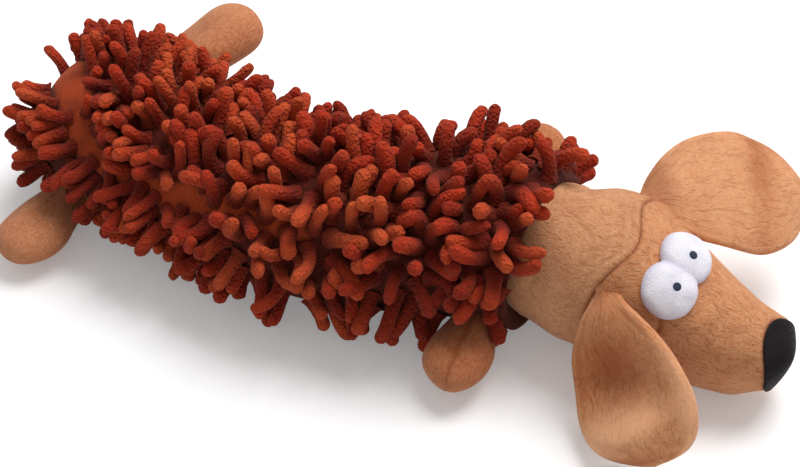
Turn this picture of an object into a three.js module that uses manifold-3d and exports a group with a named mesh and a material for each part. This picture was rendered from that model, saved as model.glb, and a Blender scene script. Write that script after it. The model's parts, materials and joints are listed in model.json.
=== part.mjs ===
// A stuffed dog toy that lies on its belly: a long body in loop-pile fabric with a squeaker inside,
// a plush neck and head with two floppy ears, a padded pair of eyes and a black nose, and four plush legs.
// The origin is on the floor under the body's middle, +X runs to the nose, +Y to the dog's left, +Z up.

import * as THREE from 'three';
import { mergeVertices } from 'three/addons/utils/BufferGeometryUtils.js';
import Module from 'manifold-3d';

// Driving dimensions, in millimetres; angles are in degrees

// Body, a stuffed tube from the tail to the collar
const tailReach = 130;
const collarReach = 95;
const bodyWidth = 68;
const hipHeight = 58;
const chestHeight = 64;
const tailDome = 34;
const bodySway = 30;
const tailSway = 10;
const swayBefore = 5;
const swayBeyond = 5;
const waistShare = 0.04;
const restCut = 0.5;

// Fabric, seams and filling
const coverWall = 2;
const seamGap = 0.4;
const fillGap = 0.4;
const bellySeamHeight = 9;
const fillSplitHeight = 28;

// Loop pile on the body
const strandPitch = 9.8;
const strandLength = 17;
const strandRootRadius = 3.3;
const strandTipRadius = 2.8;
const strandSink = 1.55;
const strandFloorGap = 1;
const strandSides = 3;
const frontLeanShare = 0.3;
const frontLeanRun = 22;
const leanRun = 26;
const leanShare = 0.5;
const hangShare = 0.3;
const strandOffsetShare = 0.35;
const strandStaggerShare = 0.5;
const tailRings = 3;
const ringScanStep = 0.1;
const slopeStep = 0.03;

// Neck and head, one tapering skin from inside the collar to the nose
const neckJointBeyond = 8.5;
const neckWidth = 62;
const neckCentreHeight = 33;
const neckLength = 25.5;
const headLength = 64.5;
const noseDepth = 7.5;
const neckTail = 26;
const neckBallRadius = 28.3;
const headBallRadius = 27.4;
const ballGap = 0.8;
const rimSetbackTop = 12;
const rimSetbackBottom = 3.5;
const chinSeamHeight = 17;
const noseSeamTilt = -18;

// Station as a share of the head's length past the neck, then half-width, half-height and centre
// height as shares of the neck's radius and centre height
const headProfileShares = [
  [-1.0, 1.0, 1.0, 1.0],
  [-0.35, 1.0, 1.0, 1.0],
  [-0.02, 0.97, 0.97, 1.0],
  [0.12, 1.02, 1.0, 0.98],
  [0.36, 0.88, 0.88, 0.88],
  [0.58, 0.72, 0.73, 0.76],
  [0.82, 0.58, 0.62, 0.69],
  [1.0, 0.48, 0.52, 0.7],
  [1.2, 0.44, 0.48, 0.7],
];

// Eyes
const eyeStationShare = 0.415;
const eyeSkewShare = 0.01;
const eyeTurn = 11;
const eyeOffTurn = 13;
const eyeRadius = 10.6;
const eyeThickness = 5.2;
const eyeLift = 1.6;
const pupilRadius = 1.8;
const pupilForward = 2.4;
const pupilThickness = 1.2;
const pupilGap = 0.3;

// Ears
const earTurn = 52;
const earLength = 67;
const earWidth = 50;
const earLayer = 1.8;
const earLayerGap = 0.4;
const earStandOff = 1.2;
const earRootDome = 4;
const earTipDome = 30;
const earBulge = 6;
const earCup = 5;
const earWidthShares = [0.3, 0.64, 0.88, 1.0, 1.0, 0.96];

// Legs
const legRootRadius = 8.5;
const legWall = 1.8;
const legTipDome = 15;
const legRootShare = 0.58;
const rearLegWidth = 27;
const rearLegLength = 45;
const rearLegThickness = 19;
const frontLegWidth = 24.5;
const frontLegLength = 35;
const frontLegThickness = 18;

// Squeaker in the filling
const squeakerBack = 18;
const squeakerRadius = 17;
const squeakerHeight = 17;
const squeakerPlate = 2;
const bellowsWall = 1.2;
const bellowsFold = 3.5;
const bellowsFolds = 2;
const squeakerGap = 0.4;
const reedTubeRadius = 4;
const reedTubeWall = 1;
const reedTubeLength = 7;
const reedThickness = 0.5;
const reedLengthShare = 0.5;
const reedWidthShare = 0.95;

// Each leg: how far along the body it leaves it, its turn from the top there, and where it points
const legs = [
  { name: 'rear_right_leg', fromShare: 0.135, turn: -120, yaw: -92, rise: -3, rear: true },
  { name: 'rear_left_leg', fromShare: 0.125, turn: 88, yaw: 66, rise: 11, rear: true },
  { name: 'front_right_leg', fromShare: 0.915, turn: -122, yaw: -80, rise: 0, rear: false },
  { name: 'front_left_leg', fromShare: 0.9, turn: 96, yaw: 80, rise: 2, rear: false },
];

// Largest lift and drop of a leg
const legLift = 22;
const legDrop = 6;

// Each ear: its side, how far along the head it is sewn, where it points, its droop and its roll
const ears = [
  { name: 'right_ear', side: -1, fromShare: 0.07, yaw: -34.5, droop: 42, roll: 48 },
  { name: 'left_ear', side: 1, fromShare: -0.01, yaw: 47, droop: 11, roll: 27 },
];

// Largest lift and drop of an ear
const earLift = 36;
const earDrop = 6;

// Largest turn of the neck, either way
const neckTurn = 15;

// Finishes
const finishes = {
  pile: { color: 0x7a2a17, roughness: 0.95 },
  plush: { color: 0xc48d63, roughness: 0.9 },
  eye: { color: 0xe6e2e8, roughness: 0.85 },
  nose: { color: 0x1c1a1d, roughness: 0.75 },
  pupil: { color: 0x2b3242, roughness: 0.4 },
  filling: { color: 0xf2f0ea, roughness: 1 },
  vinyl: { color: 0xe9e4d6, roughness: 0.5 },
  reed: { color: 0xb8c4cc, roughness: 0.35 },
};

// How finely the forms are faceted: sides around, runs along and steps in each dome
const bodySides = 16;
const bodyInnerSides = 10;
const bodyRuns = 11;
const bodyInnerRuns = 11;
const skinSides = 18;
const innerSides = 18;
const limbSides = 10;
const limbInnerSides = 8;
const ballSides = 20;
const skinRuns = 11;
const innerRuns = 8;
const skinDomeSteps = 4;
const innerDomeSteps = 3;
const limbRuns = 2;
const limbDomeSteps = 3;
const legRoomSides = 8;
const earSides = 12;
const earRuns = 5;
const earDomeSteps = 3;
const lobeSides = 14;
const pupilSides = 8;
const tubeSides = 16;
const seamSteps = 12;
const bisections = 24;
const domeShare = 0.8;

// Worked-out sizes shared by several pieces
const cutReach = 4 * (tailReach + collarReach);
const bodyLength = tailReach + collarReach;
const neckAt = collarReach + neckJointBeyond;
const headAt = neckAt + neckLength;
const neckRadius = neckWidth / 2;
const xAxis = new THREE.Vector3(1, 0, 0);
const yAxis = new THREE.Vector3(0, 1, 0);
const zAxis = new THREE.Vector3(0, 0, 1);
const radians = THREE.MathUtils.degToRad;
const wasm = await Module();
wasm.setup();

// Turns a closed three.js geometry into a solid
function solid(geometry) {
  const bare = geometry.clone();
  bare.deleteAttribute('normal');
  bare.deleteAttribute('uv');
  const merged = mergeVertices(bare);
  const mesh = new wasm.Mesh({
    numProp: 3,
    vertProperties: new Float32Array(merged.attributes.position.array),
    triVerts: new Uint32Array(merged.index.array),
  });
  return new wasm.Manifold(mesh);
}

// Turns a solid back into a named mesh with its finish
function piece(name, shape, finish) {
  const mesh = shape.getMesh();
  const geometry = new THREE.BufferGeometry();
  geometry.setAttribute('position', new THREE.BufferAttribute(new Float32Array(mesh.vertProperties), 3));
  geometry.setIndex(new THREE.BufferAttribute(new Uint32Array(mesh.triVerts), 1));
  geometry.computeVertexNormals();
  const { color, roughness } = finishes[finish];
  const made = new THREE.Mesh(geometry, new THREE.MeshStandardMaterial({ color, roughness, metalness: 0 }));
  made.name = name;
  return made;
}

// A lathe profile along a stuffed form: radius shares over stations, domed or flat at each end
function formProfile(length, backDome, frontDome, runs, domeSteps, bulgeShare) {
  const points = [new THREE.Vector2(0, 0)];
  const dome = (i) => {
    const turn = (i / domeSteps) * (Math.PI / 2);
    return [Math.sin(turn) ** bulgeShare, 1 - Math.cos(turn) ** bulgeShare];
  };
  for (let i = backDome > 0 ? 1 : domeSteps; i <= domeSteps; i += 1) {
    const [radius, depth] = dome(i);
    points.push(new THREE.Vector2(radius, backDome * depth));
  }
  points[points.length - 1].set(1, backDome);
  for (let i = 1; i <= runs; i += 1) {
    points.push(new THREE.Vector2(1, backDome + ((length - backDome - frontDome) * i) / runs));
  }
  for (let i = domeSteps - 1; i > 0 && frontDome > 0; i -= 1) {
    const [radius, depth] = dome(i);
    points.push(new THREE.Vector2(radius, length - frontDome * depth));
  }
  points.push(new THREE.Vector2(0, length));
  return points;
}

// Lathes a profile and sends each of its points (station, left share, up share) to its place
function lofted(profile, around, place) {
  const geometry = new THREE.LatheGeometry(profile, around);
  const spots = geometry.attributes.position;
  const lastColumn = around * profile.length;
  for (let i = 0; i < spots.count; i += 1) {
    const from = i < lastColumn ? i : i - lastColumn;
    const at = i < lastColumn
      ? place(spots.getY(i), spots.getZ(i), spots.getX(i))
      : new THREE.Vector3().fromBufferAttribute(spots, from);
    spots.setXYZ(i, at.x, at.y, at.z);
  }
  return solid(geometry);
}

// Everything on one side of a plane through a point
function sideOf(point, normal) {
  const box = new THREE.BoxGeometry(cutReach, cutReach, cutReach).translate(0, 0, cutReach / 2);
  box.applyQuaternion(new THREE.Quaternion().setFromUnitVectors(zAxis, normal.clone().normalize()));
  return solid(box.translate(point.x, point.y, point.z));
}

function ball(centre, radius, around) {
  return solid(new THREE.SphereGeometry(radius, around, around / 2).translate(centre.x, centre.y, centre.z));
}

// Body

// Centre line of the body: its sideways place and heading at a distance along X
function spineAt(x) {
  const swayLength = swayBefore + collarReach + swayBeyond;
  const share = THREE.MathUtils.clamp((x + swayBefore) / swayLength, 0, 1);
  const tailShare = THREE.MathUtils.clamp(-x / tailReach, 0, 1);
  const front = bodySway * (1 - Math.cos(Math.PI * share));
  const back = tailSway * (1 - Math.cos(Math.PI * tailShare));
  const slope = ((bodySway * Math.PI) / (2 * swayLength)) * Math.sin(Math.PI * share)
    - ((tailSway * Math.PI) / (2 * tailReach)) * Math.sin(Math.PI * tailShare);
  return { y: (front + back) / 2, left: new THREE.Vector3(-slope, 1, 0).normalize() };
}

// Half of the body's height, growing from the hips to the chest
function bodyHalfHeight(x) {
  const share = THREE.MathUtils.smoothstep(x, -tailReach / 2, collarReach);
  return (hipHeight + (chestHeight - hipHeight) * share) / 2;
}

function bodyHalfWidth(x) {
  return (bodyWidth / 2) * (1 - waistShare * Math.cos((Math.PI * x) / tailReach));
}

// A point of the body, inset from its skin
function bodySpot(x, left, up, inset) {
  const spine = spineAt(x);
  const halfHeight = bodyHalfHeight(x);
  const across = left * (bodyHalfWidth(x) - inset);
  const height = halfHeight - restCut + up * (halfHeight - inset);
  return new THREE.Vector3(x + spine.left.x * across, spine.y + spine.left.y * across, height);
}

function bodyForm(inset) {
  const [sides, runs, domeSteps] = inset > 0
    ? [bodyInnerSides, bodyInnerRuns, innerDomeSteps]
    : [bodySides, bodyRuns, skinDomeSteps];
  const length = bodyLength + neckJointBeyond - inset;
  const profile = formProfile(length, tailDome - inset, 0, runs, domeSteps, domeShare);
  const start = inset - tailReach;
  return lofted(profile, sides, (station, left, up) => bodySpot(start + station, left, up, inset));
}

// How full the body is at a distance from the tail, 1 past the dome
function tailFullness(from) {
  if (from >= tailDome) {
    return 1;
  }
  return (1 - (1 - from / tailDome) ** (2 / domeShare)) ** (domeShare / 2);
}

// A point on the body's skin by distance from the tail and turn from the top, with its outward normal
function bodySkin(from, turn) {
  const spot = (f, t) => {
    const full = tailFullness(f);
    return bodySpot(f - tailReach, full * Math.sin(t), full * Math.cos(t), 0);
  };
  const point = spot(from, turn);
  const along = spot(from + slopeStep, turn).sub(spot(from - Math.min(slopeStep, from), turn)).normalize();
  const turnStep = slopeStep / tailDome;
  const across = spot(from, turn + turnStep).sub(spot(from, turn - turnStep)).normalize();
  return { point, along, across, normal: along.clone().cross(across).normalize() };
}

const neckJoint = new THREE.Vector3(neckAt, spineAt(neckAt).y, neckCentreHeight);
const headJoint = new THREE.Vector3(headAt, neckJoint.y, neckCentreHeight);

// Legs

// Where a leg hangs and which way it lies
function legPlace(leg) {
  const { point } = bodySkin(leg.fromShare * bodyLength, radians(leg.turn));
  const yaw = radians(leg.yaw);
  const rise = radians(leg.rise);
  const level = new THREE.Vector3(Math.cos(yaw), Math.sin(yaw), 0);
  const ahead = level.multiplyScalar(Math.cos(rise)).addScaledVector(zAxis, Math.sin(rise));
  const left = new THREE.Vector3(-Math.sin(yaw), Math.cos(yaw), 0);
  const up = ahead.clone().cross(left);
  return { point, ahead, left, up };
}

const legLength = (leg) => (leg.rear ? rearLegLength : frontLegLength);

// Half of a leg's width and thickness at a distance from its root
function legGirth(leg, station) {
  const swell = THREE.MathUtils.smoothstep(station, 0, legLength(leg) - legTipDome);
  const grown = legRootShare + (1 - legRootShare) * swell;
  const thicker = (grown + legRootShare) / (1 + legRootShare);
  const [width, thickness] = leg.rear ? [rearLegWidth, rearLegThickness] : [frontLegWidth, frontLegThickness];
  return { halfWidth: (grown * width) / 2, halfThickness: (thicker * thickness) / 2 };
}

// A leg's stuffed form from its round root to its domed tip
function legForm(leg, inset) {
  const { point, ahead, left, up } = legPlace(leg);
  const sides = inset > 0 ? limbInnerSides : limbSides;
  const length = legLength(leg) - inset;
  const profile = formProfile(length, 0, legTipDome - inset, limbRuns, limbDomeSteps, domeShare);
  const limb = lofted(profile, sides, (station, leftShare, upShare) => {
    const { halfWidth, halfThickness } = legGirth(leg, station);
    return point.clone()
      .addScaledVector(ahead, station)
      .addScaledVector(left, leftShare * (halfWidth - inset))
      .addScaledVector(up, upShare * (halfThickness - inset));
  });
  return ball(point, legRootRadius - inset, sides).add(limb);
}

// A solid turned about an axis through a point
function turned(shape, point, axis, degrees) {
  const geometry = piece('', shape, 'filling').geometry;
  geometry.translate(-point.x, -point.y, -point.z);
  geometry.applyQuaternion(new THREE.Quaternion().setFromAxisAngle(axis, radians(degrees)));
  return solid(geometry.translate(point.x, point.y, point.z));
}

// The room that a leg sweeps as it lifts and drops: its girth, spread up and down along its length
function legRoom(leg) {
  const { point, ahead, left, up } = legPlace(leg);
  const halfStep = Math.PI / legRoomSides;
  const profile = formProfile(legLength(leg) + seamGap, 0, 0, limbRuns, 1, 1);
  const sweep = lofted(profile, legRoomSides, (station, leftShare, upShare) => {
    const { halfWidth, halfThickness } = legGirth(leg, station);
    const flatLeft = leftShare - upShare * Math.tan(halfStep);
    const flatUp = upShare + leftShare * Math.tan(halfStep);
    const swing = radians(flatUp > 0 ? legLift : legDrop);
    return point.clone()
      .addScaledVector(ahead, station)
      .addScaledVector(left, flatLeft * (halfWidth + seamGap))
      .addScaledVector(up, flatUp * (halfThickness / Math.cos(swing) + seamGap))
      .addScaledVector(up, Math.sign(flatUp) * station * Math.tan(swing));
  });
  return sweep.add(ball(point, legRootRadius + ballGap, limbSides));
}

// Neck and head

const profileCurves = [1, 2, 3].map((column) => new THREE.CatmullRomCurve3(
  headProfileShares.map((row) => new THREE.Vector3(row[0], row[column], 0)),
));

// Reads one column of the head's profile at a station share, by bisection along its curve
function profileAt(column, share) {
  let low = 0;
  let high = 1;
  for (let i = 0; i < bisections; i += 1) {
    const middle = (low + high) / 2;
    if (profileCurves[column].getPoint(middle).x < share) {
      low = middle;
    } else {
      high = middle;
    }
  }
  return profileCurves[column].getPoint((low + high) / 2).y;
}

const headTip = headAt + headLength + noseDepth;

// A point of the neck or head at a distance along X, inset from its skin
function headSpot(x, left, up, inset) {
  const share = (x - headAt) / headLength;
  const across = left * (neckRadius * profileAt(0, share) - inset);
  const height = neckCentreHeight * profileAt(2, share) + up * (neckRadius * profileAt(1, share) - inset);
  return new THREE.Vector3(x, neckJoint.y + across, height);
}

function headForm(inset) {
  const start = neckAt - neckTail;
  const [sides, runs, domeSteps] = inset > 0
    ? [innerSides, innerRuns, innerDomeSteps]
    : [skinSides, skinRuns, skinDomeSteps];
  const profile = formProfile(headTip - start - inset, 0, noseDepth - inset, runs, domeSteps, domeShare);
  return lofted(profile, sides, (station, left, up) => headSpot(start + station, left, up, inset));
}

// A point on the head's skin by station share and turn from the top, with its outward normal
function headSkin(share, turn) {
  const spot = (s, t) => headSpot(headAt + s * headLength, Math.sin(t), Math.cos(t), 0);
  const step = slopeStep / headLength;
  const along = spot(share + step, turn).sub(spot(share - step, turn));
  const across = spot(share, turn + step).sub(spot(share, turn - step));
  return { point: spot(share, turn), normal: along.cross(across).normalize() };
}

// Body panels and their pile

const aboveFloor = sideOf(new THREE.Vector3(0, 0, 0), zAxis);
const backward = xAxis.clone().negate();
const roomBehindCollar = (wall) => sideOf(new THREE.Vector3(collarReach - wall, 0, 0), backward);
const neckSocket = ball(neckJoint, neckBallRadius + ballGap, ballSides);
const legRooms = legs.map(legRoom);

function withSockets(shape) {
  let cut = shape.intersect(roomBehindCollar(0)).subtract(neckSocket);
  for (const sweep of legRooms) {
    cut = cut.subtract(sweep);
  }
  return cut;
}

// Everything to one side of the seam that runs along the top of the body
function besideSpine(side) {
  const outline = new THREE.Shape();
  outline.moveTo(2 * collarReach, side * cutReach);
  outline.lineTo(-2 * tailReach, side * cutReach);
  for (let i = 0; i <= seamSteps; i += 1) {
    const x = -2 * tailReach + (2 * bodyLength * i) / seamSteps;
    const spine = spineAt(x);
    outline.lineTo(x + (spine.left.x * side * seamGap) / 2, spine.y + (spine.left.y * side * seamGap) / 2);
  }
  outline.closePath();
  return solid(new THREE.ExtrudeGeometry(outline, { depth: cutReach, bevelEnabled: false }));
}

// One strand of pile: its root lies flat inside the cover and its tip leans away
function strand({ root, along, across, lie }) {
  const section = new THREE.Shape();
  for (let i = 0; i < strandSides; i += 1) {
    const turn = (2 * Math.PI * i) / strandSides;
    const corner = [Math.cos(turn), Math.sin(turn)];
    if (i === 0) {
      section.moveTo(...corner);
    } else {
      section.lineTo(...corner);
    }
  }
  section.closePath();
  const peg = new THREE.ExtrudeGeometry(section, { depth: 1, bevelEnabled: false });
  const spots = peg.attributes.position;
  for (let i = 0; i < spots.count; i += 1) {
    const radius = THREE.MathUtils.lerp(strandRootRadius, strandTipRadius, spots.getZ(i));
    const at = root.clone()
      .addScaledVector(along, radius * spots.getX(i))
      .addScaledVector(across, radius * spots.getY(i))
      .addScaledVector(lie, spots.getZ(i));
    spots.setXYZ(i, at.x, at.y, at.z);
  }
  return solid(peg);
}

// Distances from the tail at which rings of strands stand, one pitch apart along the skin
function ringStations() {
  const stations = [];
  const radius = bodyWidth / 2;
  const steps = Math.round(bodyLength / ringScanStep);
  let run = strandPitch / 2;
  let last = 0;
  for (let i = 1; i <= steps; i += 1) {
    const from = (bodyLength * i) / steps;
    const full = tailFullness(from);
    run += Math.hypot(bodyLength / steps, radius * (full - last));
    last = full;
    if (run >= strandPitch) {
      stations.push(from);
      run -= strandPitch;
    }
  }
  return stations;
}

const rings = ringStations();
const tailSeam = (rings[tailRings] + rings[tailRings - 1]) / 2 - tailReach;

// The roots and tips of all strands
function strandSpots() {
  const spots = [];
  rings.forEach((from, ring) => {
    const x = from - tailReach;
    if (x > collarReach - strandRootRadius) {
      return;
    }
    const radius = ((bodyHalfWidth(x) + bodyHalfHeight(x)) / 2) * tailFullness(from);
    const pitch = strandPitch / radius;
    const offset = strandOffsetShare + strandStaggerShare * (ring % 2);
    for (const side of [-1, 1]) {
      for (let turn = offset * pitch; turn < Math.PI - strandOffsetShare * pitch; turn += pitch) {
        const { point, along, across, normal } = bodySkin(from, side * turn);
        const clearOfBelly = x < tailSeam || point.z - strandRootRadius > bellySeamHeight;
        if (clearOfBelly && point.z > strandRootRadius) {
          const front = THREE.MathUtils.smoothstep(x, collarReach - frontLeanRun, collarReach);
          const wave = leanShare * Math.sin(from / leanRun + 2 * side * turn);
          const leanAlong = THREE.MathUtils.lerp(wave, frontLeanShare, front);
          const hang = hangShare * side * Math.sin(turn);
          const leanAcross = leanShare * Math.cos(from / leanRun - side * turn) + hang;
          const lie = normal.clone().addScaledVector(along, leanAlong).addScaledVector(across, leanAcross);
          lie.setLength(strandLength);
          const root = point.clone().addScaledVector(normal, -strandSink);
          lie.z = Math.max(lie.z, strandTipRadius + strandFloorGap - root.z);
          spots.push({ x, side, root, along, across, lie });
        }
      }
    }
  });
  return spots;
}

const bodyOuter = bodyForm(0).intersect(aboveFloor);
const bodyRoom = (wall) => bodyForm(wall).intersect(roomBehindCollar(wall));
const cover = withSockets(bodyOuter.subtract(bodyRoom(coverWall)));
const ahead = (x) => sideOf(new THREE.Vector3(x + seamGap / 2, 0, 0), xAxis);
const behind = (x) => sideOf(new THREE.Vector3(x - seamGap / 2, 0, 0), backward);
const over = (z) => sideOf(new THREE.Vector3(0, 0, z + seamGap / 2), zAxis);
const under = (z) => sideOf(new THREE.Vector3(0, 0, z - seamGap / 2), zAxis.clone().negate());

// The room that strands stay out of: the legs' sweep and the neck's turn
function keepOff() {
  const neckForm = headForm(-seamGap).intersect(sideOf(neckJoint, xAxis));
  let room = neckForm;
  for (const degrees of [-neckTurn, neckTurn]) {
    room = room.add(turned(neckForm, neckJoint, zAxis, degrees));
  }
  return [room, ...legRooms];
}

const keptClear = keepOff();
const pegs = strandSpots()
  .map((spot) => ({ ...spot, shape: strand(spot) }))
  .filter(({ shape }) => keptClear.every((room) => room.intersect(shape).isEmpty()));

function withPile(panel, room, chosen) {
  let made = panel;
  for (const { shape } of pegs.filter(chosen)) {
    made = made.add(shape.intersect(room));
  }
  return made;
}

const torso = new THREE.Group();
for (const [name, side] of [['right_side_panel', -1], ['left_side_panel', 1]]) {
  const room = besideSpine(side).intersect(ahead(tailSeam));
  const panel = cover.intersect(room).intersect(over(bellySeamHeight));
  torso.add(piece(name, withPile(panel, room, (spot) => spot.side === side && spot.x > tailSeam), 'pile'));
}
const tailRoom = behind(tailSeam);
const tailPanel = withPile(cover.intersect(tailRoom), tailRoom, (spot) => spot.x < tailSeam);
torso.add(piece('tail_panel', tailPanel, 'pile'));
torso.add(piece('belly_panel', cover.intersect(ahead(tailSeam)).intersect(under(bellySeamHeight)), 'pile'));

// Squeaker: a folded vinyl bellows between two plates, with a reed in a tube through the lower one
const squeakerAt = new THREE.Vector3(-squeakerBack, spineAt(-squeakerBack).y, fillSplitHeight);

function plate(innerRadius, thickness) {
  const profile = [
    new THREE.Vector2(innerRadius, 0),
    new THREE.Vector2(squeakerRadius, 0),
    new THREE.Vector2(squeakerRadius, thickness),
    new THREE.Vector2(innerRadius, thickness),
    new THREE.Vector2(innerRadius, 0),
  ];
  return new THREE.LatheGeometry(profile, skinSides).rotateX(Math.PI / 2);
}

function bellowsGeometry(height) {
  const outside = [];
  const inside = [];
  for (let i = 0; i <= 2 * bellowsFolds; i += 1) {
    const radius = squeakerRadius - (i % 2) * bellowsFold;
    outside.push(new THREE.Vector2(radius, (height * i) / (2 * bellowsFolds)));
    inside.unshift(new THREE.Vector2(radius - bellowsWall, (height * i) / (2 * bellowsFolds)));
  }
  return new THREE.LatheGeometry([...outside, ...inside, outside[0].clone()], skinSides).rotateX(Math.PI / 2);
}

const squeaker = new THREE.Group();
const pocketRadius = squeakerRadius + squeakerGap;
const bellowsHeight = squeakerHeight - 2 * squeakerPlate - 2 * squeakerGap;
const squeakerFoot = squeakerAt.clone().addScaledVector(zAxis, -squeakerHeight / 2);
const lathed = (geometry, lift) => {
  const at = squeakerFoot.clone().addScaledVector(zAxis, lift);
  return solid(geometry.translate(at.x, at.y, at.z));
};
const base = plate(reedTubeRadius + squeakerGap, squeakerPlate);
squeaker.add(piece('squeaker_base', lathed(base, 0), 'vinyl'));
const bellows = bellowsGeometry(bellowsHeight);
squeaker.add(piece('squeaker_bellows', lathed(bellows, squeakerPlate + squeakerGap), 'vinyl'));
const capProfile = [
  new THREE.Vector2(0, 0),
  new THREE.Vector2(squeakerRadius, 0),
  new THREE.Vector2(squeakerRadius, squeakerPlate),
  new THREE.Vector2(0, squeakerPlate),
];
const capGeometry = new THREE.LatheGeometry(capProfile, skinSides).rotateX(Math.PI / 2);
squeaker.add(piece('squeaker_cap', lathed(capGeometry, squeakerHeight - squeakerPlate), 'vinyl'));
const tubeProfile = [
  new THREE.Vector2(reedTubeRadius - reedTubeWall, 0),
  new THREE.Vector2(reedTubeRadius, 0),
  new THREE.Vector2(reedTubeRadius, reedTubeLength),
  new THREE.Vector2(reedTubeRadius - reedTubeWall, reedTubeLength),
  new THREE.Vector2(reedTubeRadius - reedTubeWall, 0),
];
const tubeGeometry = new THREE.LatheGeometry(tubeProfile, tubeSides).rotateX(Math.PI / 2);
squeaker.add(piece('squeaker_reed_tube', lathed(tubeGeometry, 0), 'reed'));
const reedRoom = 2 * (reedTubeRadius - reedTubeWall - squeakerGap) * Math.cos(Math.PI / tubeSides);
const reedWidth = reedRoom * reedWidthShare;
const reedGeometry = new THREE.BoxGeometry(reedThickness, reedWidth, reedTubeLength * reedLengthShare);
squeaker.add(piece('squeaker_reed', lathed(reedGeometry, reedTubeLength / 2), 'reed'));
torso.add(squeaker);

// Filling of the body, in an upper and a lower half around the squeaker
const pocketHeight = squeakerHeight + 2 * squeakerGap;
const pocketGeometry = new THREE.CylinderGeometry(pocketRadius, pocketRadius, pocketHeight, skinSides);
const pocket = solid(pocketGeometry.rotateX(Math.PI / 2).translate(squeakerAt.x, squeakerAt.y, squeakerAt.z));
const bodyFilling = withSockets(bodyRoom(coverWall + fillGap)).subtract(pocket);
torso.add(piece('upper_filling', bodyFilling.intersect(over(fillSplitHeight)), 'filling'));
torso.add(piece('lower_filling', bodyFilling.intersect(under(fillSplitHeight)), 'filling'));

// Legs: two cover panels seamed along the leg, around a filling
function legPieces(leg) {
  const group = new THREE.Group();
  const { point, left } = legPlace(leg);
  const skin = legForm(leg, 0).intersect(sideOf(new THREE.Vector3(0, 0, seamGap), zAxis));
  const shell = skin.subtract(legForm(leg, legWall));
  const front = leg.turn < 0 ? 1 : -1;
  for (const [name, side] of [['front_panel', front], ['back_panel', -front]]) {
    const normal = left.clone().multiplyScalar(side);
    const half = sideOf(point.clone().addScaledVector(normal, seamGap / 2), normal);
    group.add(piece(`${leg.name}_${name}`, shell.intersect(half), 'plush'));
  }
  group.add(piece(`${leg.name}_filling`, legForm(leg, legWall + fillGap), 'filling'));
  return group;
}

// Neck: a tube of plush around a filling with a round seat for the head
const headSocket = ball(headJoint, headBallRadius + ballGap, ballSides);
const rimNormal = new THREE.Vector3(-neckWidth, 0, -(rimSetbackTop - rimSetbackBottom));
const rimPoint = headJoint.clone().addScaledVector(xAxis, -(rimSetbackTop + rimSetbackBottom) / 2);
const behindRim = sideOf(rimPoint, rimNormal);
const headOuter = headForm(0);

// The tapering form ahead of a joint, inset from its skin, on the ball that it turns on
function onBall(joint, ballRadius, inset) {
  const front = (inset > 0 ? headForm(inset) : headOuter)
    .intersect(sideOf(joint.clone().addScaledVector(xAxis, inset), xAxis));
  return front.add(ball(joint, ballRadius - inset, inset > 0 ? innerSides : ballSides));
}

// The neck turns on a ball in the body, and the head on a ball in the neck
const neckForm = (inset) => onBall(neckJoint, neckBallRadius, inset);
const seated = (shape) => shape.intersect(behindRim).subtract(headSocket);
const skullForm = (inset) => onBall(headJoint, headBallRadius, inset);

const neck = new THREE.Group();
neck.add(piece('neck_cover', seated(neckForm(0).subtract(neckForm(coverWall))), 'plush'));
const behindSeat = sideOf(headJoint.clone().addScaledVector(xAxis, -rimSetbackTop), backward);
neck.add(piece('neck_filling', seated(neckForm(coverWall + fillGap)).intersect(behindSeat), 'filling'));

// Head: a face panel over a chin panel, with a nose cap, around a filling
const head = new THREE.Group();
const headShell = skullForm(0).subtract(skullForm(coverWall));
const noseSeam = new THREE.Vector3(headAt + headLength, headJoint.y, neckCentreHeight * profileAt(2, 1));
const noseNormal = xAxis.clone().applyAxisAngle(yAxis, radians(noseSeamTilt));
const noseBackward = noseNormal.clone().negate();
const noseFace = sideOf(noseSeam.clone().addScaledVector(noseNormal, seamGap / 2), noseNormal);
const noseBack = sideOf(noseSeam.clone().addScaledVector(noseBackward, seamGap / 2), noseBackward);
const faceShell = headShell.intersect(noseBack);
head.add(piece('face_panel', faceShell.intersect(over(chinSeamHeight)), 'plush'));
head.add(piece('chin_panel', faceShell.intersect(under(chinSeamHeight)), 'plush'));
head.add(piece('nose_cap', headShell.intersect(noseFace), 'nose'));
head.add(piece('head_filling', skullForm(coverWall + fillGap), 'filling'));

// Eyes: two round lobes sewn as one pad, each with a small pupil
const headClear = headForm(-seamGap);

function eyeLobe(side, grow) {
  const station = eyeStationShare - side * eyeSkewShare;
  const { point, normal } = headSkin(station, radians(side * eyeTurn - eyeOffTurn));
  const lobe = new THREE.SphereGeometry(1, lobeSides, lobeSides / 2).rotateX(Math.PI / 2)
    .scale(eyeRadius + grow, eyeRadius + grow, eyeThickness + grow);
  lobe.applyQuaternion(new THREE.Quaternion().setFromUnitVectors(zAxis, normal));
  const centre = point.addScaledVector(normal, eyeLift);
  return { shape: solid(lobe.translate(centre.x, centre.y, centre.z)), centre, normal };
}

const lobes = [eyeLobe(-1, 0), eyeLobe(1, 0)];
head.add(piece('eye_pad', lobes[0].shape.add(lobes[1].shape).subtract(headClear), 'eye'));
for (const [index, name] of ['right_pupil', 'left_pupil'].entries()) {
  const { centre, normal } = lobes[index];
  const forward = xAxis.clone().addScaledVector(normal, -normal.x).normalize();
  const rise = eyeThickness * Math.sqrt(1 - (pupilForward / eyeRadius) ** 2);
  const at = centre.clone().addScaledVector(normal, rise).addScaledVector(forward, pupilForward);
  const bead = new THREE.SphereGeometry(1, pupilSides, pupilSides / 2).rotateX(Math.PI / 2);
  bead.scale(pupilRadius, pupilRadius, pupilThickness);
  bead.applyQuaternion(new THREE.Quaternion().setFromUnitVectors(zAxis, normal));
  const lobeClear = eyeLobe(index === 0 ? -1 : 1, pupilGap).shape;
  head.add(piece(name, solid(bead.translate(at.x, at.y, at.z)).subtract(lobeClear), 'pupil'));
}

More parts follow.
